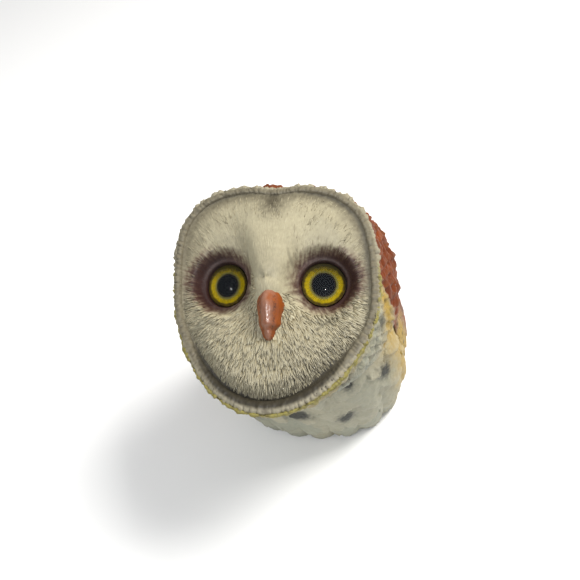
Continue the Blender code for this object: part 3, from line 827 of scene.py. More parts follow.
def iris_finish():
    f = Finish("iris_yellow", IRIS)
    rays = f.g.noise(f.g.attribute("grain", "Vector"), 1.0, 3.0)
    f.spray(f.g.span(rays, 0.35, 0.7), IRIS_RAY, 0.7, 0.2)
    f.spray("inner", IRIS_INNER, 0.85, 0.3)
    f.spray("lash", IRIS_LASH, 1.0, 0.3)
    # the iris's dark ragged rim, widened at the top and bottom as painted shade of the lids
    f.spray("outer", IRIS_OUTER, 0.9, 0.5)
    f.spray("shade", IRIS_SHADE, 0.85, 0.3)
    return f.close(0.5, rays, 0.04, gloss=0.02)


def pupil_finish():
    f = Finish("pupil_black", PUPIL)
    f.spray(f.g.span(f.g.noise(f.where, 400.0, 3.0), 0.45, 0.75), PUPIL_DUST, 0.6, 0.2)
    return f.close(0.5, 0.0, 0.02, gloss=0.02)


def dome_finish():
    """A clear film: what doesn't mirror the room at this angle lets the eye behind show."""
    f = Finish("clear_dome", FILM)
    shader = f.shader
    shader.inputs["Base Color"].default_value = f.color
    shader.inputs["Metallic"].default_value = 1.0
    scuff = f.g.span(f.g.noise(f.where, 700.0, 4.0), 0.55, 0.8, 0.02, 0.035)
    f.g.plug(shader.inputs["Roughness"], scuff)
    film = f.g.add("ShaderNodeFresnel", IOR=GLASS_IOR).outputs[0]
    front = f.g.math("SUBTRACT", 1.0, f.g.add("ShaderNodeNewGeometry").outputs["Backfacing"])
    f.g.plug(shader.inputs["Alpha"], f.g.times(f.g.times(film, FILM_SHARE), front))
    return f.material


def foot_finish():
    f = Finish("toe_horn", HORN)
    f.spray("claw", CLAW, 0.95, 0.3)
    f.carve(f.g.attribute("relief"), HORN_WASH, 0.6, HORN_BRUSH, 0.3)
    return f.close(0.5, 0.0, 0.08)


def felt_finish():
    f = Finish("green_felt", FELT)
    fibre = f.g.noise(f.where, 1800.0, 5.0, 0.7)
    f.spray(f.g.span(fibre, 0.4, 0.7), FELT_FIBRE, 0.7, 0.3)
    f.shader.inputs["Sheen Weight"].default_value = 0.3
    return f.close(0.95, fibre, 0.3)


def rubber_finish():
    f = Finish("black_rubber", RUBBER)
    f.spray(f.g.span(f.g.noise(f.where, 500.0, 3.0), 0.5, 0.75), RUBBER_DUST, 0.6, 0.3)
    return f.close(0.75, f.g.noise(f.where, 900.0, 3.0), 0.1)


# ---------------------------------------------------------------- the head


def eye_masks(x, y):
    """Maroon spray round the eyes, set a little outwards and up, its edge drawn out in hairs."""
    maroon = np.zeros(np.shape(x))
    blush = np.zeros(np.shape(x))
    ragged = 1.9 * strokes(x, y, 3.4, 2.2, 11) + 0.9 * strokes(x, y, 1.2, 1.4, 12)
    outwards, up = MAROON_AIM
    for side in (-1, 1):
        dx, dy = side * (x - side * EYE_X) - outwards, y - EYE_Y - up
        far = np.hypot(dx / np.where(dx > 0, 1.04, 0.97), dy / np.where(dy > 0, 0.86, 0.98))
        maroon = np.maximum(maroon, 1 - smoothstep(7.2, 10.9, far + ragged))
        blush = np.maximum(blush, 1 - smoothstep(8.4, 12.8, far + ragged))
    return maroon, blush


def make_face():
    """The white face: rays from the beak out to the ruff's crest, then tucked in behind it."""
    rows, columns = 94, 1040
    angle = ring(columns, -math.pi)
    front_rows = rows - len(FACE_TUCK)
    share = np.concatenate([np.linspace(0.05, 0.99, front_rows), FACE_TUCK[:, 0]])[:, None]
    tucked = np.concatenate([np.zeros(front_rows), FACE_TUCK[:, 1]])[:, None]
    edge = face_outline(angle) - 1.0
    x = edge * share * np.cos(angle)
    y = edge * share * np.sin(angle) + BEAK_ROOT_Y * (1 - share)
    inside = past_groove(x, y)
    chin = chin_share(np.arctan2(y, x))
    lower = smoothstep(2, -14, y)
    eyes = np.minimum(eye_distance(x, y, -1), eye_distance(x, y, 1))
    open_skin = smoothstep(6.9, 8.0, eyes)
    coarse = strokes(x, y, 1.5, 1.5, 1)
    fine = strokes(x, y, 3.4, 2.6, 2)
    calm = 1 - smoothstep(0, 0.5, bump(x, 8.0) * bump(y - 6, 14))  # less at the bridge
    plucked = np.clip(2.2 * np.abs(noise(triple(x * 1.9, y * 0.5, 0), 7)), 0, 1)
    relief = np.clip(np.abs(coarse) * 1.5 + np.abs(fine) * 1.5, 0, 1.3) / 1.3
    relief = mix(plucked, relief, calm)
    depth = (0.6 + 0.4 * calm) * mix(0.13, 0.55, lower) * open_skin * smoothstep(-1.5, 2.0, inside)
    clumps = calm * mix(0.25, 0.4, lower) * strokes(x, y, 0.55, 0.7, 4)
    clumps = clumps * open_skin * smoothstep(1, 5, inside)
    height = face_height(x, y) + depth * (relief - 0.4) + clumps - tucked
    maroon, blush = eye_masks(x, y)
    stray = strokes(x, y, 2.6, 1.4, 6)
    taupe = smoothstep(mix(3.6, 2.0, chin), -0.4, inside + mix(0.8, 2.2, lower) * stray)
    cleft = bump(x + 0.3, 3.6) * smoothstep(16, 24, y)
    taupe = np.maximum(taupe * mix(0.75, 1.0, chin), cleft)
    # Painted shade: darkest in the chin's groove, a little in the brow's cleft.
    deep = np.maximum(chin * smoothstep(1.6, -0.2, inside + stray), 0.35 * cleft)
    # Painted shade: darker over the brow, on the bridge, over the owl's right eye, beside the bridge and in
    # a crease on each side.
    dusk = np.maximum.reduce([
        (0.42 + 0.25 * smoothstep(10, 1, inside)) * smoothstep(0, 10, y),  # over the brow
        0.55 * bump(x, 8) * bump(y - 4, 13),  # on the bridge
        0.55 * bump(np.hypot(x + 12, (y - 14) * 0.9), 12),  # over the owl's right eye
        0.5 * bump(np.abs(x) - 7.4, 2.6) * bump(y - 9, 8),  # beside the bridge
        0.9 * bump(np.abs(x + 0.2 * y - 1) - 6.3, 0.6) * bump(y - 6, 4),  # a crease on each side
    ])
    # Painted reflection: a thin line round each dome's edge, on its upper side, for the glass rim's
    # reflection.
    lid_line = bump(eyes - 7.6, 0.2) * smoothstep(0.0, 0.8, (y + 1.0) / 7) * (0.3 + 0.8 * np.abs(coarse))
    closed_surface(
        "face_disc", head_to_world(triple(x, y, height)), face_finish(), "cream_resin", ["head_shell"],
        relief=relief, wash=mix(0.19, 0.9, lower), maroon=maroon, blush=blush, taupe=taupe,
        deep=deep, dusk=dusk, lid_line=lid_line, hair=hair_space(x, y, 7.0, 5.0),
    )


def face_normals(x, y):
    """Unit normals and slopes of the face, from its height a small step to each side."""
    step = SLOPE_STEP
    slope_x = (face_height(x + step, y) - face_height(x - step, y)) / (2 * step)
    slope_y = (face_height(x, y + step) - face_height(x, y - step)) / (2 * step)
    normals = triple(-slope_x, -slope_y, 1.0)
    return normals / np.linalg.norm(normals, axis=-1, keepdims=True), slope_x, slope_y


def make_bristles():
    """Raised strokes: shaggy below the eyes and at the beak's root, sparse and flat on the brow."""
    angle = rng.uniform(-math.pi, math.pi, BRISTLE_COUNT)
    share = np.sqrt(rng.uniform(0.02, 1, BRISTLE_COUNT))
    edge = face_outline(angle) - groove_inset(angle) - 1.0
    x, y = edge * share * np.cos(angle), edge * share * np.sin(angle)
    eyes = np.minimum(eye_distance(x, y, -1), eye_distance(x, y, 1))
    in_beak = (np.abs(x - 0.8) < 3.6) & (y < -3.4) & (y > -17.2)
    tufts = bump(np.hypot(x, (y + 1.5) * 0.8), 6.0)
    shaggy = np.maximum(smoothstep(1, -13, y), 0.9 * tufts)
    on_bridge = (np.abs(x) < 7) & (y > 1.0) & (y < 17)
    on_bridge |= (x > 2.4) & (x < 8) & (y > -4) & (y < 3)
    chosen = rng.uniform(size=BRISTLE_COUNT) < mix(0.12, 1.0, shaggy)
    keep = (eyes > 9.6) & ~in_beak & ~on_bridge & chosen
    x, y, shaggy, tufts = x[keep], y[keep], shaggy[keep], tufts[keep]
    kept = len(x)
    _, _, flow_x, flow_y = hair_flow(x, y)
    sway = rng.normal(0, 0.17, kept) + 0.5 * noise(triple(x, y, 0) * 0.22, 14)
    turn = np.arctan2(flow_y - 0.9 * tufts, flow_x) + sway
    flow_x, flow_y = np.cos(turn), np.sin(turn)
    normals, slope_x, slope_y = face_normals(x, y)
    directions = triple(flow_x, flow_y, slope_x * flow_x + slope_y * flow_y)
    directions /= np.linalg.norm(directions, axis=-1, keepdims=True)
    fringe = smoothstep(-22, -31, y)
    length = mix(2.2, 3.1, shaggy) * rng.uniform(0.65, 1.35, kept) * (1 - 0.45 * tufts) * (1 + 0.25 * fringe)
    width = mix(0.14, 0.30, shaggy) * rng.uniform(0.75, 1.3, kept)
    lift = mix(0.0, 0.22, shaggy) * rng.uniform(0.2, 1.6, kept) + 0.35 * fringe + 0.3 * tufts
    roots = triple(x, y, face_height(x, y)) + normals * mix(-0.02, 0.10, shaggy)[:, None]
    maroon, _ = eye_masks(x + flow_x, y + flow_y)
    taupe = 0.5 * smoothstep(2.6, 1.0, past_groove(x, y)) * (1 - fringe)
    taupe = taupe + 0.9 * bump(x + 0.3, 3.4) * smoothstep(17, 27, y)
    bristle_patch(
        "face_bristles", head_to_world(roots), directions @ HEAD_AXES, normals @ HEAD_AXES,
        length, width, lift, bristle_finish(), "cream_resin",
        tone=rng.uniform(0, 1, kept) ** 2, maroon=maroon, taupe=taupe,
    )


def hood_depth_point(angle, depth):
    """The hood: from the ruff's crest (depth 0) out and back to its closed end (depth 1)."""
    edge = face_outline(angle)
    hood = superellipse(angle, HOOD_HALF_WIDTH, HOOD_TOP, HOOD_BOTTOM, HOOD_SQUARENESS)
    from_top = (angle + math.pi / 2) % math.tau - math.pi
    hood = hood + CROWN_RISE * bump(from_top - 0.22, 0.28) * smoothstep(0.1, 0.4, depth)
    around = depth * math.pi / 2
    radius = mix(edge, hood, smoothstep(0, 0.35, depth)) * np.abs(np.cos(around)) ** HOOD_PROFILE[0]
    rim = rim_height(angle)
    height = rim - (rim + HEAD_BACK) * np.sin(around) ** HOOD_PROFILE[1]
    return radius, height


def make_hood(paint):
    """Crest, crown and nape: a rounded rim, then rows of scalloped feathers closing behind.

    Two rows stand inside the head, crest_rows turn over the rim on an arc, and crown_rows follow
    the hood to its closed end. arc is the way along a column, 0 where the crown starts.
    """
    columns, crest_rows, crown_rows = 590, 22, 144
    angle = ring(columns, -math.pi)
    chin, outline, rim = chin_share(angle), face_outline(angle), rim_height(angle)
    turn = shares(crest_rows, -0.6, 1.0) * math.pi / 2
    depth = shares(crown_rows, 0, 0.985) ** 1.25
    crown_radius, crown_height = hood_depth_point(angle, depth)
    thick = mix(*CREST_WIDTH, chin)
    crest_radius = outline - thick + thick * np.sin(turn)
    outer_fall = 1 + 0.9 * chin * np.maximum(np.sin(turn), 0)
    crest_height = rim + 1.1 * (np.cos(turn) - 1) * outer_fall + 0.2 * np.cos(turn)
    radius = np.concatenate([0.3 * outline, outline - 1.9 * thick, crest_radius, crown_radius])
    height = np.concatenate([np.full_like(angle, -8), rim - 5, crest_height, crown_height])
    crown_start = len(height) - crown_rows
    flat = triple(radius * np.cos(angle), radius * np.sin(angle), height)
    arc = np.cumsum(np.linalg.norm(np.diff(flat, axis=0, prepend=flat[:1]), axis=-1), axis=0)
    arc = arc - arc[crown_start]
    normals = outward_normals(flat)
    wobble = noise(flat * 0.28, 21)
    share, offset, tone = feather_rows(angle / math.tau * 58 + 0.4 * wobble, (arc + 2.0 * wobble) / 3.6)
    scallop = share**1.3 * (1 - 0.35 * offset**2)
    on_hood = smoothstep(0.6, 2.4, arc)
    lumps = noise(flat * 0.42, 23) * smoothstep(-1.6, 0.4, arc)
    barb = np.abs(np.sin((offset * 5 + share * 2.2 * np.sign(offset)) * math.pi))
    tick_share, tick_offset, tick_tone = feather_rows(angle / math.tau * 96 + 0.5 * wobble, (arc + 3) / 3.4)
    hair = triple(np.cos(angle) * 62, np.sin(angle) * 62, arc * 0.45)
    hairs = np.clip(1.6 * np.abs(noise(hair, 22)) + 1.8 * np.abs(noise(hair * 0.5, 24)), 0, 1)
    ticks = 0.55 * tick_share * (1 - tick_offset**2) + 0.5 * (tick_tone - 0.5)
    ticks = ticks * smoothstep(-2.2, -0.2, arc) * (1 - 0.65 * chin) + 0.55 * hairs
    ticks = ticks * (1 - on_hood)
    ticks[:8] *= shares(8)
    feathers = scallop + 0.5 * (tone - 0.5) - 0.35 + 0.06 * barb * share
    end_fade = smoothstep(1.0, 0.9, np.concatenate([np.zeros((crown_start, 1)), depth]))
    end_fade[:2] = 0
    relief_height = (on_hood * feathers + ticks + 1.1 * lumps) * end_fade
    shaped = flat + normals * relief_height[..., None]
    around = side_degrees(flat)
    border = around - 7 + 1.3 * np.clip(rim - height, 0, 30) + 4 * (tone - 0.5) + 5 * wobble
    rust = smoothstep(-3, 3, border) * smoothstep(0.5, 1.7, arc)
    gold = bump(border + 6, 6.0) * smoothstep(0.8, 1.8, arc) * (1 - rust)
    gold = np.maximum(gold, 0.45 * smoothstep(-20, -60, around) * bump(arc - 4.5, 3.0))
    line = smoothstep(mix(-0.6, -4.3, chin), mix(0.4, -3.2, chin), arc) * smoothstep(14, 2, around)
    line = line * smoothstep(mix(4.2, 2.6, chin), mix(2.4, 1.0, chin), arc)
    ice = smoothstep(-12, -26, border) * (0.35 + 0.65 * tone) * smoothstep(2.0, 5.0, arc)
    pale = smoothstep(1.4, 0.2, arc + 1.6 * chin)
    taupe = smoothstep(mix(-1.6, -4.8, chin), mix(-2.5, -5.5, chin), arc) * 0.75
    # Painted shade: the crest darker at the left and right sides.
    taupe = np.maximum(taupe, 0.4 * np.cos(angle) ** 4 * smoothstep(0.8, -0.4, arc))
    # Painted shade deep in the chin's groove.
    deep = chin * smoothstep(-5.2, -5.9, arc)
    relief = np.where(on_hood > 0.5, 0.25 + 0.75 * scallop * (0.75 + 0.25 * barb), 0.05 + 0.9 * hairs)
    closed_surface(
        "hood", head_to_world(shaped), paint, "rust_resin", ["head_shell"],
        relief=relief, tone=tone, rust=rust, gold=gold, ice=ice, spot=spots(head_to_world(flat)),
        taupe=taupe, deep=deep, pale_rim=pale, line=line, barb=barb * on_hood,
    )


SPOTS = (  # middle in the head's frame, then half-sizes across and along
    (30.6, -10.4, -1.8, 1.5, 2.4),
    (20.9, -28.0, -0.9, 2.4, 2.4),
    (5.5, -38.0, 1.5, 3.2, 1.6),
)
CHEST_SPOTS = (  # degrees round from the owl's left side, height over the body's middle, half-sizes
    (-26, 14.6, 2.4, 4.2),
    (-50, 25.5, 2.2, 4.0),
    (-88, 9.0, 3.4, 3.4),
    (-60, 1.7, 2.8, 3.8),
)


def spots(world):
    """Soft dark airbrushed dots; those on the left are repeated on the right."""
    local = (world - HEAD_CENTRE) @ HEAD_AXES.T
    total = np.zeros(local.shape[:-1])
    for x, y, z, wide, tall in SPOTS:
        for side in (-1, 1):
            away = (local - (side * x, y, z)) / (wide, tall, (wide + tall) / 2)
            total = np.maximum(total, bump(np.linalg.norm(away, axis=-1), 1.0))
    return total


# ---------------------------------------------------------------- eyes and beak


def turned_grid(profile, columns):
    """(radius, height) pairs turned about z."""
    angle = ring(columns)
    radius, height = np.array(profile).T[..., None]
    return triple(radius * np.cos(angle), radius * np.sin(angle), height), angle


def make_eye(side, label, finishes):
    """Three turned parts: a dome cut from a sphere, a dished ring, and a stud (r, a - b r^4)."""
    iris_paint, pupil_paint, dome_paint = finishes
    sphere = (DOME_RADIUS**2 + DOME_RISE**2) / (2 * DOME_RISE)
    top = DOME_EDGE + DOME_RISE
    turn = np.linspace(0.02, 1, 26) * math.asin(DOME_RADIUS / sphere)
    shell = [(sphere * math.sin(t), top - sphere * (1 - math.cos(t))) for t in turn]
    shell += [(DOME_RADIUS, 0.5), (DOME_RADIUS - 0.3, DOME_FLOOR), (0.4, DOME_FLOOR)]
    grid, _ = turned_grid(shell, 72)
    dome = eye_to_world(grid, side)
    closed_surface(f"eye_dome_{label}", dome, dome_paint, "clear_dome", [f"eye_lens_{label}"])

    across = np.linspace(IRIS_HOLE, IRIS_RADIUS, 18)
    bowl = [(r, -0.05 - 0.22 * math.sin(math.pi * (r - IRIS_HOLE) / IRIS_HOLE)) for r in across]
    bowl += [(IRIS_RADIUS, -0.4), (IRIS_RADIUS, IRIS_BACK), (IRIS_HOLE, IRIS_BACK)]
    grid, angle = turned_grid(bowl, 120)
    radius = np.hypot(grid[..., 0], grid[..., 1])
    frayed = radius + 0.35 * noise(triple(np.cos(angle) * 5, np.sin(angle) * 5, 0), 61)
    closed_surface(
        f"eye_iris_{label}", eye_to_world(grid, side), iris_paint, "iris_yellow", [f"iris_{label}"],
        grain=triple(np.cos(angle) * 9, np.sin(angle) * 9, radius * 0.5),
        inner=smoothstep(4.5, 3.9, radius),
        lash=smoothstep(3.75, 3.5, radius),
        # the dark ragged rim, its width at the top and bottom partly painted shade of the lids
        outer=smoothstep(5.35, 5.95, frayed * (1 + 0.05 * np.abs(np.sin(angle)))),
        shade=smoothstep(0.2, 5.8, grid[..., 1]) * smoothstep(IRIS_HOLE, 5.0, radius),
    )

    stud = [(r, 0.12 - 0.25 * (r / PUPIL_RADIUS) ** 4) for r in np.linspace(0.2, PUPIL_RADIUS, 14)]
    stud += [(PUPIL_RADIUS, -0.6), (0.3, -1.6)]
    grid, _ = turned_grid(stud, 72)
    pupil = eye_to_world(grid, side)
    closed_surface(f"eye_pupil_{label}", pupil, pupil_paint, "pupil_black", [f"pupil_{label}"])


def make_beak():
    """A hooked beak: rings down its length, ridged in front, narrowing to the hook, chipped.

    y runs down as a cosine. Each ring's half-width is the taper sin^f, and its front stands further
    out than its back. Shallow noise then cuts the facets and the crease.
    """
    rows, columns = 120, 120
    polar = shares(rows, 0.02, 0.985)
    angle = ring(columns)
    sine, cosine = np.sin(angle), np.cos(angle)
    turn = polar * math.pi
    y = BEAK_MIDDLE[1] + BEAK_HALF_LENGTH * np.cos(turn)
    hook = smoothstep(*HOOK_SPAN, polar)
    fullness = mix(1.5, 0.62, smoothstep(0.15, 0.5, polar))
    taper = np.sin(turn) ** fullness * (1 - 0.15 * smoothstep(0.4, 0.6, polar))
    upper = sine > 0
    reach = np.where(upper, BEAK_REACH[0] * (1 - 0.22 * hook), BEAK_REACH[1]) * taper
    width = BEAK_HALF_WIDTH * taper * (1 - np.where(cosine < 0, 0.42, 0.12) * hook)
    sharp = np.where(upper, np.abs(cosine) ** 1.15, np.abs(cosine))
    x = BEAK_MIDDLE[0] - width * np.sign(cosine) * sharp
    z = mix(*BEAK_LEVEL, polar) + reach * sine
    flat = triple(x, y, z)
    cut = noise(flat * (0.8, 0.4, 0.8), 31)
    nick = noise(flat * (2.2, 1.8, 2.2), 32)
    low = smoothstep(0.6, 0.1, sine)
    crease = bump(sine - 0.8, 0.07) * smoothstep(0.12, 0.3, polar)
    rough = 0.22 * cut + 0.10 * nick + 0.6 * np.minimum(nick, 0) * low - 0.22 * crease * (0.6 + cut)
    shaped = flat + outward_normals(flat) * (rough * np.sin(turn))[..., None]
    ridge = np.clip(bump(sine - 1, 0.2) * smoothstep(0.08, 0.22, polar) * (0.85 + cut * 1.3), 0, 1)
    edge = smoothstep(0.34, 0.08, sine + 0.45 * nick)
    closed_surface(
        "beak_carved", head_to_world(shaped), beak_finish(), "beak_resin", ["beak"],
        ridge=ridge, edge=np.maximum(edge, 0.8 * crease * (nick < -0.05)), grain=flat * (1.6, 0.35, 1.6),
    )


# ---------------------------------------------------------------- body, wings, tail, feet


def body_surface(polar, angle, grow=0.0):
    """A leaning superellipsoid: level sections of power n, radius times sin(turn)^f."""
    polar, angle = np.broadcast_arrays(polar, angle)
    turn = polar * math.pi
    depth = np.where(np.sin(angle) > 0, BODY_BACK, BODY_CHEST) + grow
    across = np.abs(np.cos(angle) / (BODY_HALF_WIDTH + grow)) ** BODY_SQUARENESS
    ring = (across + np.abs(np.sin(angle) / depth) ** BODY_SQUARENESS) ** (-1 / BODY_SQUARENESS)
    radius = ring * np.abs(np.sin(turn)) ** BODY_FULLNESS
    axial = (np.where(np.cos(turn) > 0, BODY_ABOVE, BODY_BELOW) + grow) * np.cos(turn)
    return np.stack([radius * np.cos(angle), radius * np.sin(angle), axial], axis=-1)


def make_body():
    """Chest and flanks: big soft overlapping clumps, fine strokes on them, flat underneath."""
    rows, columns = 230, 400
    polar = shares(rows, 0.04, 0.97)
    angle = ring(columns, -math.pi)
    flat = body_surface(polar, angle)
    wobble = noise(flat * 0.16, 41)
    arc = polar * BODY_GIRTH_ARC
    clump, offset, tone = feather_rows(angle / math.tau * 17 + 0.5 * wobble, (arc + 4 * wobble) / 12.5, 0.7)
    soft = clump**1.6 * (1 - 0.45 * offset**2)
    small_lane = angle / math.tau * 56 + 0.3 * wobble
    small, small_offset, small_tone = feather_rows(small_lane, (arc + 2 * wobble) / 4.3)
    line = np.abs(np.sin((offset * 9 + 1.2 * wobble) * math.pi))
    strands = np.abs(noise(triple(angle * 26 + offset * 2, arc / 5.5, 0), 42))
    back = smoothstep(-0.05, 0.35, np.sin(angle))
    around = side_degrees(flat)
    flank = 1.5 * bump(around + 13, 11) * bump(polar - 0.47, 0.2)
    lobes = np.abs(np.cos(angle * 9 + 0.8 + 0.5 * wobble)) ** 0.7 - 0.6
    clumpy = 1.15 * soft + 1.9 * lobes * smoothstep(0.42, 0.6, polar)
    relief_height = clumpy + 0.22 * small**1.5 * (1 - small_offset**2) + 0.45 * strands - 0.95 + flank
    world = body_to_world(flat + outward_normals(flat) * relief_height[..., None])
    world[..., 2] = np.maximum(world[..., 2], BODY_FLAT)
    border = around + 6 * wobble + 5 * (small_tone - 0.5)
    rust = smoothstep(2, 14, border)
    closed_surface(
        "body_feathers", world, body_finish(), "chest_resin", ["body_shell"],
        relief=np.clip(0.15 + 0.6 * soft + 0.2 * small + 0.5 * strands, 0, 1),
        rust=rust, gold=bump(border + 7, 14) * (1 - rust), ice=smoothstep(-8, -30, border) * tone * 0.8,
        spot=np.maximum(spots(world), body_spots(world)),
        barb=np.clip(line * 0.6 + strands, 0, 1) * (1 - 0.3 * back), brush=0.3 * (1 - 0.9 * rust),
    )


def body_spots(world):
    """Dark dots in staggered rows on the chest, mirrored, with soft uneven edges."""
    local = (world - BODY_CENTRE) @ BODY_AXES.T
    around = side_degrees(local)
    reach = np.hypot(local[..., 0], local[..., 1])
    fray = 0.4 * noise(local * 0.9, 51)
    total = np.zeros(around.shape)
    for angle, height, wide, tall in CHEST_SPOTS:
        aside = np.radians(around - angle) * reach / wide
        total = np.maximum(total, bump(np.hypot(aside, (local[..., 2] - height) / tall) + fray, 0.95))
    return np.clip(1.7 * total, 0, 1)


UNPAINTED = {"ice": 0, "taupe": 0, "deep": 0, "pale_rim": 0, "line": 0}  # masks only the hood has


def make_wing(side, label, paint):
    """A folded wing: a thin shield on the flank, scalloped coverts above long primaries.

    Down its length t its half-width is w sin-shaped, and around its edge phi the offset across is
    cos(phi) and the rise off the body is the square root of sin(phi), outer side only.
    """
    rows, columns = 230, 200
    t = shares(rows)
    phi = ring(columns)
    across = np.sign(np.cos(phi)) * np.abs(np.cos(phi)) ** 0.75
    outer = np.maximum(np.sin(phi), 0)
    half = WING_HALF_ANGLE * np.clip(np.sin(math.pi * (0.06 + 0.90 * t**0.9)), 0, 1) ** 0.42
    middle = WING_MIDDLE[0] + WING_MIDDLE[1] * smoothstep(0.6, 1, t)
    polar = mix(*WING_SPAN, t)
    turn = np.radians(middle + half * across)
    turn = turn if side > 0 else math.pi - turn
    leading = mix(0.4, 1.0, smoothstep(-1, -0.5, across))
    rise = np.sqrt(outer) * leading * smoothstep(0.08, 0.45, t) * smoothstep(1.0, 0.93, t)
    rise = WING_RISE[0] + WING_RISE[1] * rise
    arc = t * WING_ARC
    lane = (middle + half * across) / 7.0
    coverts, offset, tone = feather_rows(lane, arc / 3.6)
    long_rows = np.where(arc > COVERT_END, (arc - COVERT_END) / PRIMARY_LENGTH, 0)
    primaries, long_offset, long_tone = feather_rows(lane * 0.9 + 0.3, long_rows, 0.5)
    lower = smoothstep(COVERT_END - 2, COVERT_END + 2, arc)
    share = mix(coverts, primaries, lower)
    aside = mix(offset, long_offset, lower)
    scallop = share**1.3 * (1 - 0.4 * aside**2)
    barb = np.abs(np.sin((aside * 6 + share * 3 * np.sign(aside)) * math.pi))
    shaft = bump(aside, 0.1) * lower
    lift = (0.65 * scallop + 0.05 * barb + 0.12 * shaft) * smoothstep(0, 0.3, outer) * smoothstep(0, 0.1, t)
    grid = body_surface(polar, turn, rise + lift)
    front = 1 - (across + 1) / 2
    gold = smoothstep(0.70, 0.92, front + 0.08 * (tone - 0.5)) * smoothstep(0.16, 0.3, t)
    blend_tone = mix(tone, long_tone, lower)
    bars = lower * smoothstep(0.75, 0.9, np.sin(primaries * 9) * 0.5 + 0.5) * 0.8
    spot = bump(np.hypot(aside * 1.6, (share - 0.72) * 5), 0.55) * (blend_tone > 0.72) * 0.8
    world = body_to_world(grid)
    world[..., 2] = np.maximum(world[..., 2], BODY_FLAT + 0.6)
    closed_surface(
        f"wing_feathers_{label}", world, paint, "rust_resin", [f"wing_{label}"],
        relief=0.2 + 0.8 * scallop * (0.8 + 0.2 * barb), tone=np.clip(blend_tone + bars, 0, 1),
        rust=1 - gold, gold=gold, spot=spot, barb=barb, **UNPAINTED,
    )


def make_tail(paint):
    """Five feathers in a fan: each a flat leaf with a shaft and slanting barbs."""
    sine, cosine = math.sin(TAIL_SLOPE), math.cos(TAIL_SLOPE)
    tilt = np.array([[1, 0, 0], [0, cosine, -sine], [0, sine, cosine]])
    place = (0, BODY_CENTRE[1], TAIL_LOW + 52 * sine)
    t = shares(90, 0.01, 0.995)
    phi = ring(60)
    blunt = np.sqrt(np.clip(1 - t**9, 0, 1))
    across = TAIL_HALF_WIDTH * (0.62 + 0.38 * t) * blunt * np.cos(phi)
    for number in range(TAIL_FEATHERS):
        fan = TAIL_FAN * ((number + 0.5) / TAIL_FEATHERS - 0.5)
        from_middle = abs(number - TAIL_FEATHERS // 2)
        reach = mix(TAIL_REACH[0], TAIL_REACH[1] - 0.35 * from_middle, t)
        barb = np.abs(np.sin((np.abs(across) * 1.1 + reach * 0.8) * math.pi))
        crown = 0.55 + 0.45 * bump(across, 0.5) + 0.10 * barb
        up = 0.42 * (2 - from_middle) - 0.35 + crown * np.sin(phi) * blunt + 0.5 * t**2
        aside = across * math.cos(fan) + reach * math.sin(fan)
        behind = reach * math.cos(fan) - across * math.sin(fan)
        closed_surface(
            f"tail_feather_{number}", triple(aside, behind, up) @ tilt + place, paint, "rust_resin",
            ["tail_fan"], relief=0.35 + 0.5 * barb + 0.15 * bump(across, 0.5),
            tone=smoothstep(0.2, 0.8, np.sin(t * 22) * 0.5 + 0.5) * 0.7,
            rust=1, gold=0, spot=0, barb=barb, **UNPAINTED,
        )


def make_foot(side, label, paint):
    """Three toes on a short leg: rings of scutes, each toe ending in a curved dark claw."""
    heel_y = BODY_CENTRE[1] - HEEL_AHEAD
    t = shares(70)
    phi = ring(28)
    scute = np.abs(np.sin(t * 9 * math.pi)) ** 0.5
    claw = smoothstep(*CLAW_SPAN, t)
    point = CLAW_RADIUS * np.sqrt(np.clip((1 - t) / 0.26, 0, 1))
    radius = mix(TOE_RADIUS + 0.15 * scute, point, claw)
    radius = radius * np.sqrt(np.clip(t / 0.06, 0.02, 1))
    reach = TOE_LENGTH * t - 1.2
    drop = 1.95 - 1.15 * smoothstep(0.78, 1, t)
    cross = radius * np.cos(phi)
    z = np.maximum(drop + radius * np.sin(phi), GROUND_GAP)
    for toe in (-1, 0, 1):
        turn = toe * TOE_SPREAD
        x = side * FOOT_X + reach * math.sin(turn) + cross * math.cos(turn)
        y = heel_y - reach * math.cos(turn) + cross * math.sin(turn)
        closed_surface(
            f"toe_{label}_{toe + 1}", triple(x, y, z), paint, "foot_resin", [f"foot_{label}"],
            claw=claw, relief=0.2 + 0.7 * scute * (1 - claw),
        )


SIDES = ((1, "left"), (-1, "right"))  # the owl's own left is at +x
make_face()
make_bristles()
feather_paint = hood_finish()
make_hood(feather_paint)
eye_finishes = (iris_finish(), pupil_finish(), dome_finish())
for owl_side, side_name in SIDES:
    make_eye(owl_side, side_name, eye_finishes)
make_beak()
make_body()
for owl_side, side_name in SIDES:
    make_wing(owl_side, side_name, feather_paint)
make_tail(feather_paint)
toe_paint = foot_finish()
for owl_side, side_name in SIDES:
    make_foot(owl_side, side_name, toe_paint)

for node, paint, slot in (
    ("felt_pad", felt_finish(), "felt"),
    ("drain_stopper", rubber_finish(), "stopper_rubber"),
):
    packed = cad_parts[node]
    packed.data.materials.clear()
    packed.data.materials.append(paint)


# ---------------------------------------------------------------- floor, light and camera

CAMERA_AZIMUTH = math.radians(21.48)
CAMERA_ELEVATION = math.radians(46.26)
CAMERA_ROLL = math.radians(-16.46)
CAMERA_DISTANCE = 215.0
LENS = 46.0
SHIFT = (0.0326, -0.0159)
RIM_MIDDLE = np.array([0, 0, 7.0])
FLOOR_HALF_WIDTH = 3.0  # m
FLOOR_PAINT = (0.86, 0.86, 0.86, 1)
SKY_STRENGTH = 0.55


def camera_axes():
    """Rows are back towards the camera, right and up."""
    a, e, r = CAMERA_AZIMUTH, CAMERA_ELEVATION, CAMERA_ROLL
    back = np.array([math.sin(a) * math.cos(e), -math.cos(a) * math.cos(e), math.sin(e)])
    level = np.array([math.cos(a), math.sin(a), 0])
    upright = np.cross(back, level)
    right = level * math.cos(r) + upright * math.sin(r)
    return np.array([back, right, np.cross(back, right)])


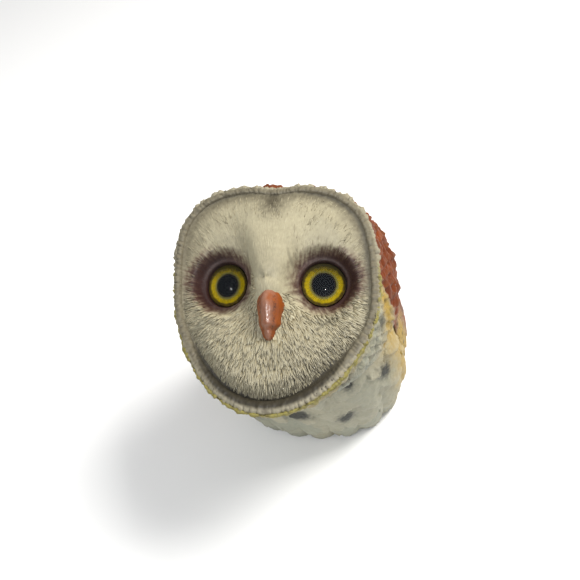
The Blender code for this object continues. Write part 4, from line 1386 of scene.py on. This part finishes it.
CAMERA_AXES = camera_axes()
SOFTBOXES = (  # name, aim, distance and size in mm, watts, colour, and what it lights
    ("key", (0.7, 0.55, 0.9), 520, (260, 260), 5.0, (1.0, 0.985, 0.95), "colour"),
    ("fill", (1.0, -0.9, -0.2), 600, (400, 400), 1.6, (0.95, 0.98, 1.0), "colour"),
    ("window", (1.0, 0.02, -0.17), 420, (40, 120), 3.0, (1.0, 1.0, 1.0), "gloss"),
)


def add_camera():
    back, right, up = CAMERA_AXES
    eye = head_to_world(RIM_MIDDLE) + back * CAMERA_DISTANCE
    data = bpy.data.cameras.new("camera")
    data.lens = LENS
    data.sensor_width = 36
    data.shift_x, data.shift_y = SHIFT
    data.clip_start = 0.005
    made = bpy.data.objects.new("camera", data)
    turned = Matrix(np.stack([right, up, back], axis=1).tolist()).to_4x4()
    made.matrix_world = Matrix.Translation((eye * MM).tolist()) @ turned
    bpy.context.scene.collection.objects.link(made)
    bpy.context.scene.camera = made


def add_softbox(name, aim, distance, size, power, colour, lights):
    """A rectangular area light that faces the head; aim is its way back, right and up from there."""
    direction = np.array(aim) @ CAMERA_AXES
    direction /= np.linalg.norm(direction)
    place = HEAD_CENTRE + direction * distance
    data = bpy.data.lights.new(name, "AREA")
    data.shape = "RECTANGLE"
    data.size = size[0] * MM
    data.size_y = size[1] * MM
    data.energy = power
    data.color = colour
    made = bpy.data.objects.new(name, data)
    made.visible_diffuse = lights == "colour"
    made.visible_glossy = lights == "gloss"
    side = np.cross([0, 0, 1], direction)
    side /= np.linalg.norm(side)
    turned = Matrix(np.stack([side, np.cross(direction, side), direction], axis=1).tolist()).to_4x4()
    made.matrix_world = Matrix.Translation((place * MM).tolist()) @ turned
    bpy.context.scene.collection.objects.link(made)


def add_floor():
    mesh = bpy.data.meshes.new("floor")
    half = FLOOR_HALF_WIDTH
    corners = [(-half, -half, 0), (half, -half, 0), (half, half, 0), (-half, half, 0)]
    mesh.from_pydata(corners, [], [(0, 1, 2, 3)])
    paint = bpy.data.materials.new("floor_pale")
    paint.use_nodes = True
    shader = paint.node_tree.nodes["Principled BSDF"]
    shader.inputs["Base Color"].default_value = FLOOR_PAINT
    shader.inputs["Roughness"].default_value = 0.9
    shader.inputs["Specular IOR Level"].default_value = 0.1
    mesh.materials.append(paint)
    floor = bpy.data.objects.new("floor", mesh)
    bpy.context.scene.collection.objects.link(floor)


def add_world():
    world = bpy.data.worlds.new("studio")
    world.use_nodes = True
    background = world.node_tree.nodes["Background"]
    background.inputs["Color"].default_value = (1, 1, 1, 1)
    background.inputs["Strength"].default_value = SKY_STRENGTH
    bpy.context.scene.world = world


add_camera()
for softbox in SOFTBOXES:
    add_softbox(*softbox)
add_floor()
add_world()
bpy.context.scene.view_settings.view_transform = "Standard"
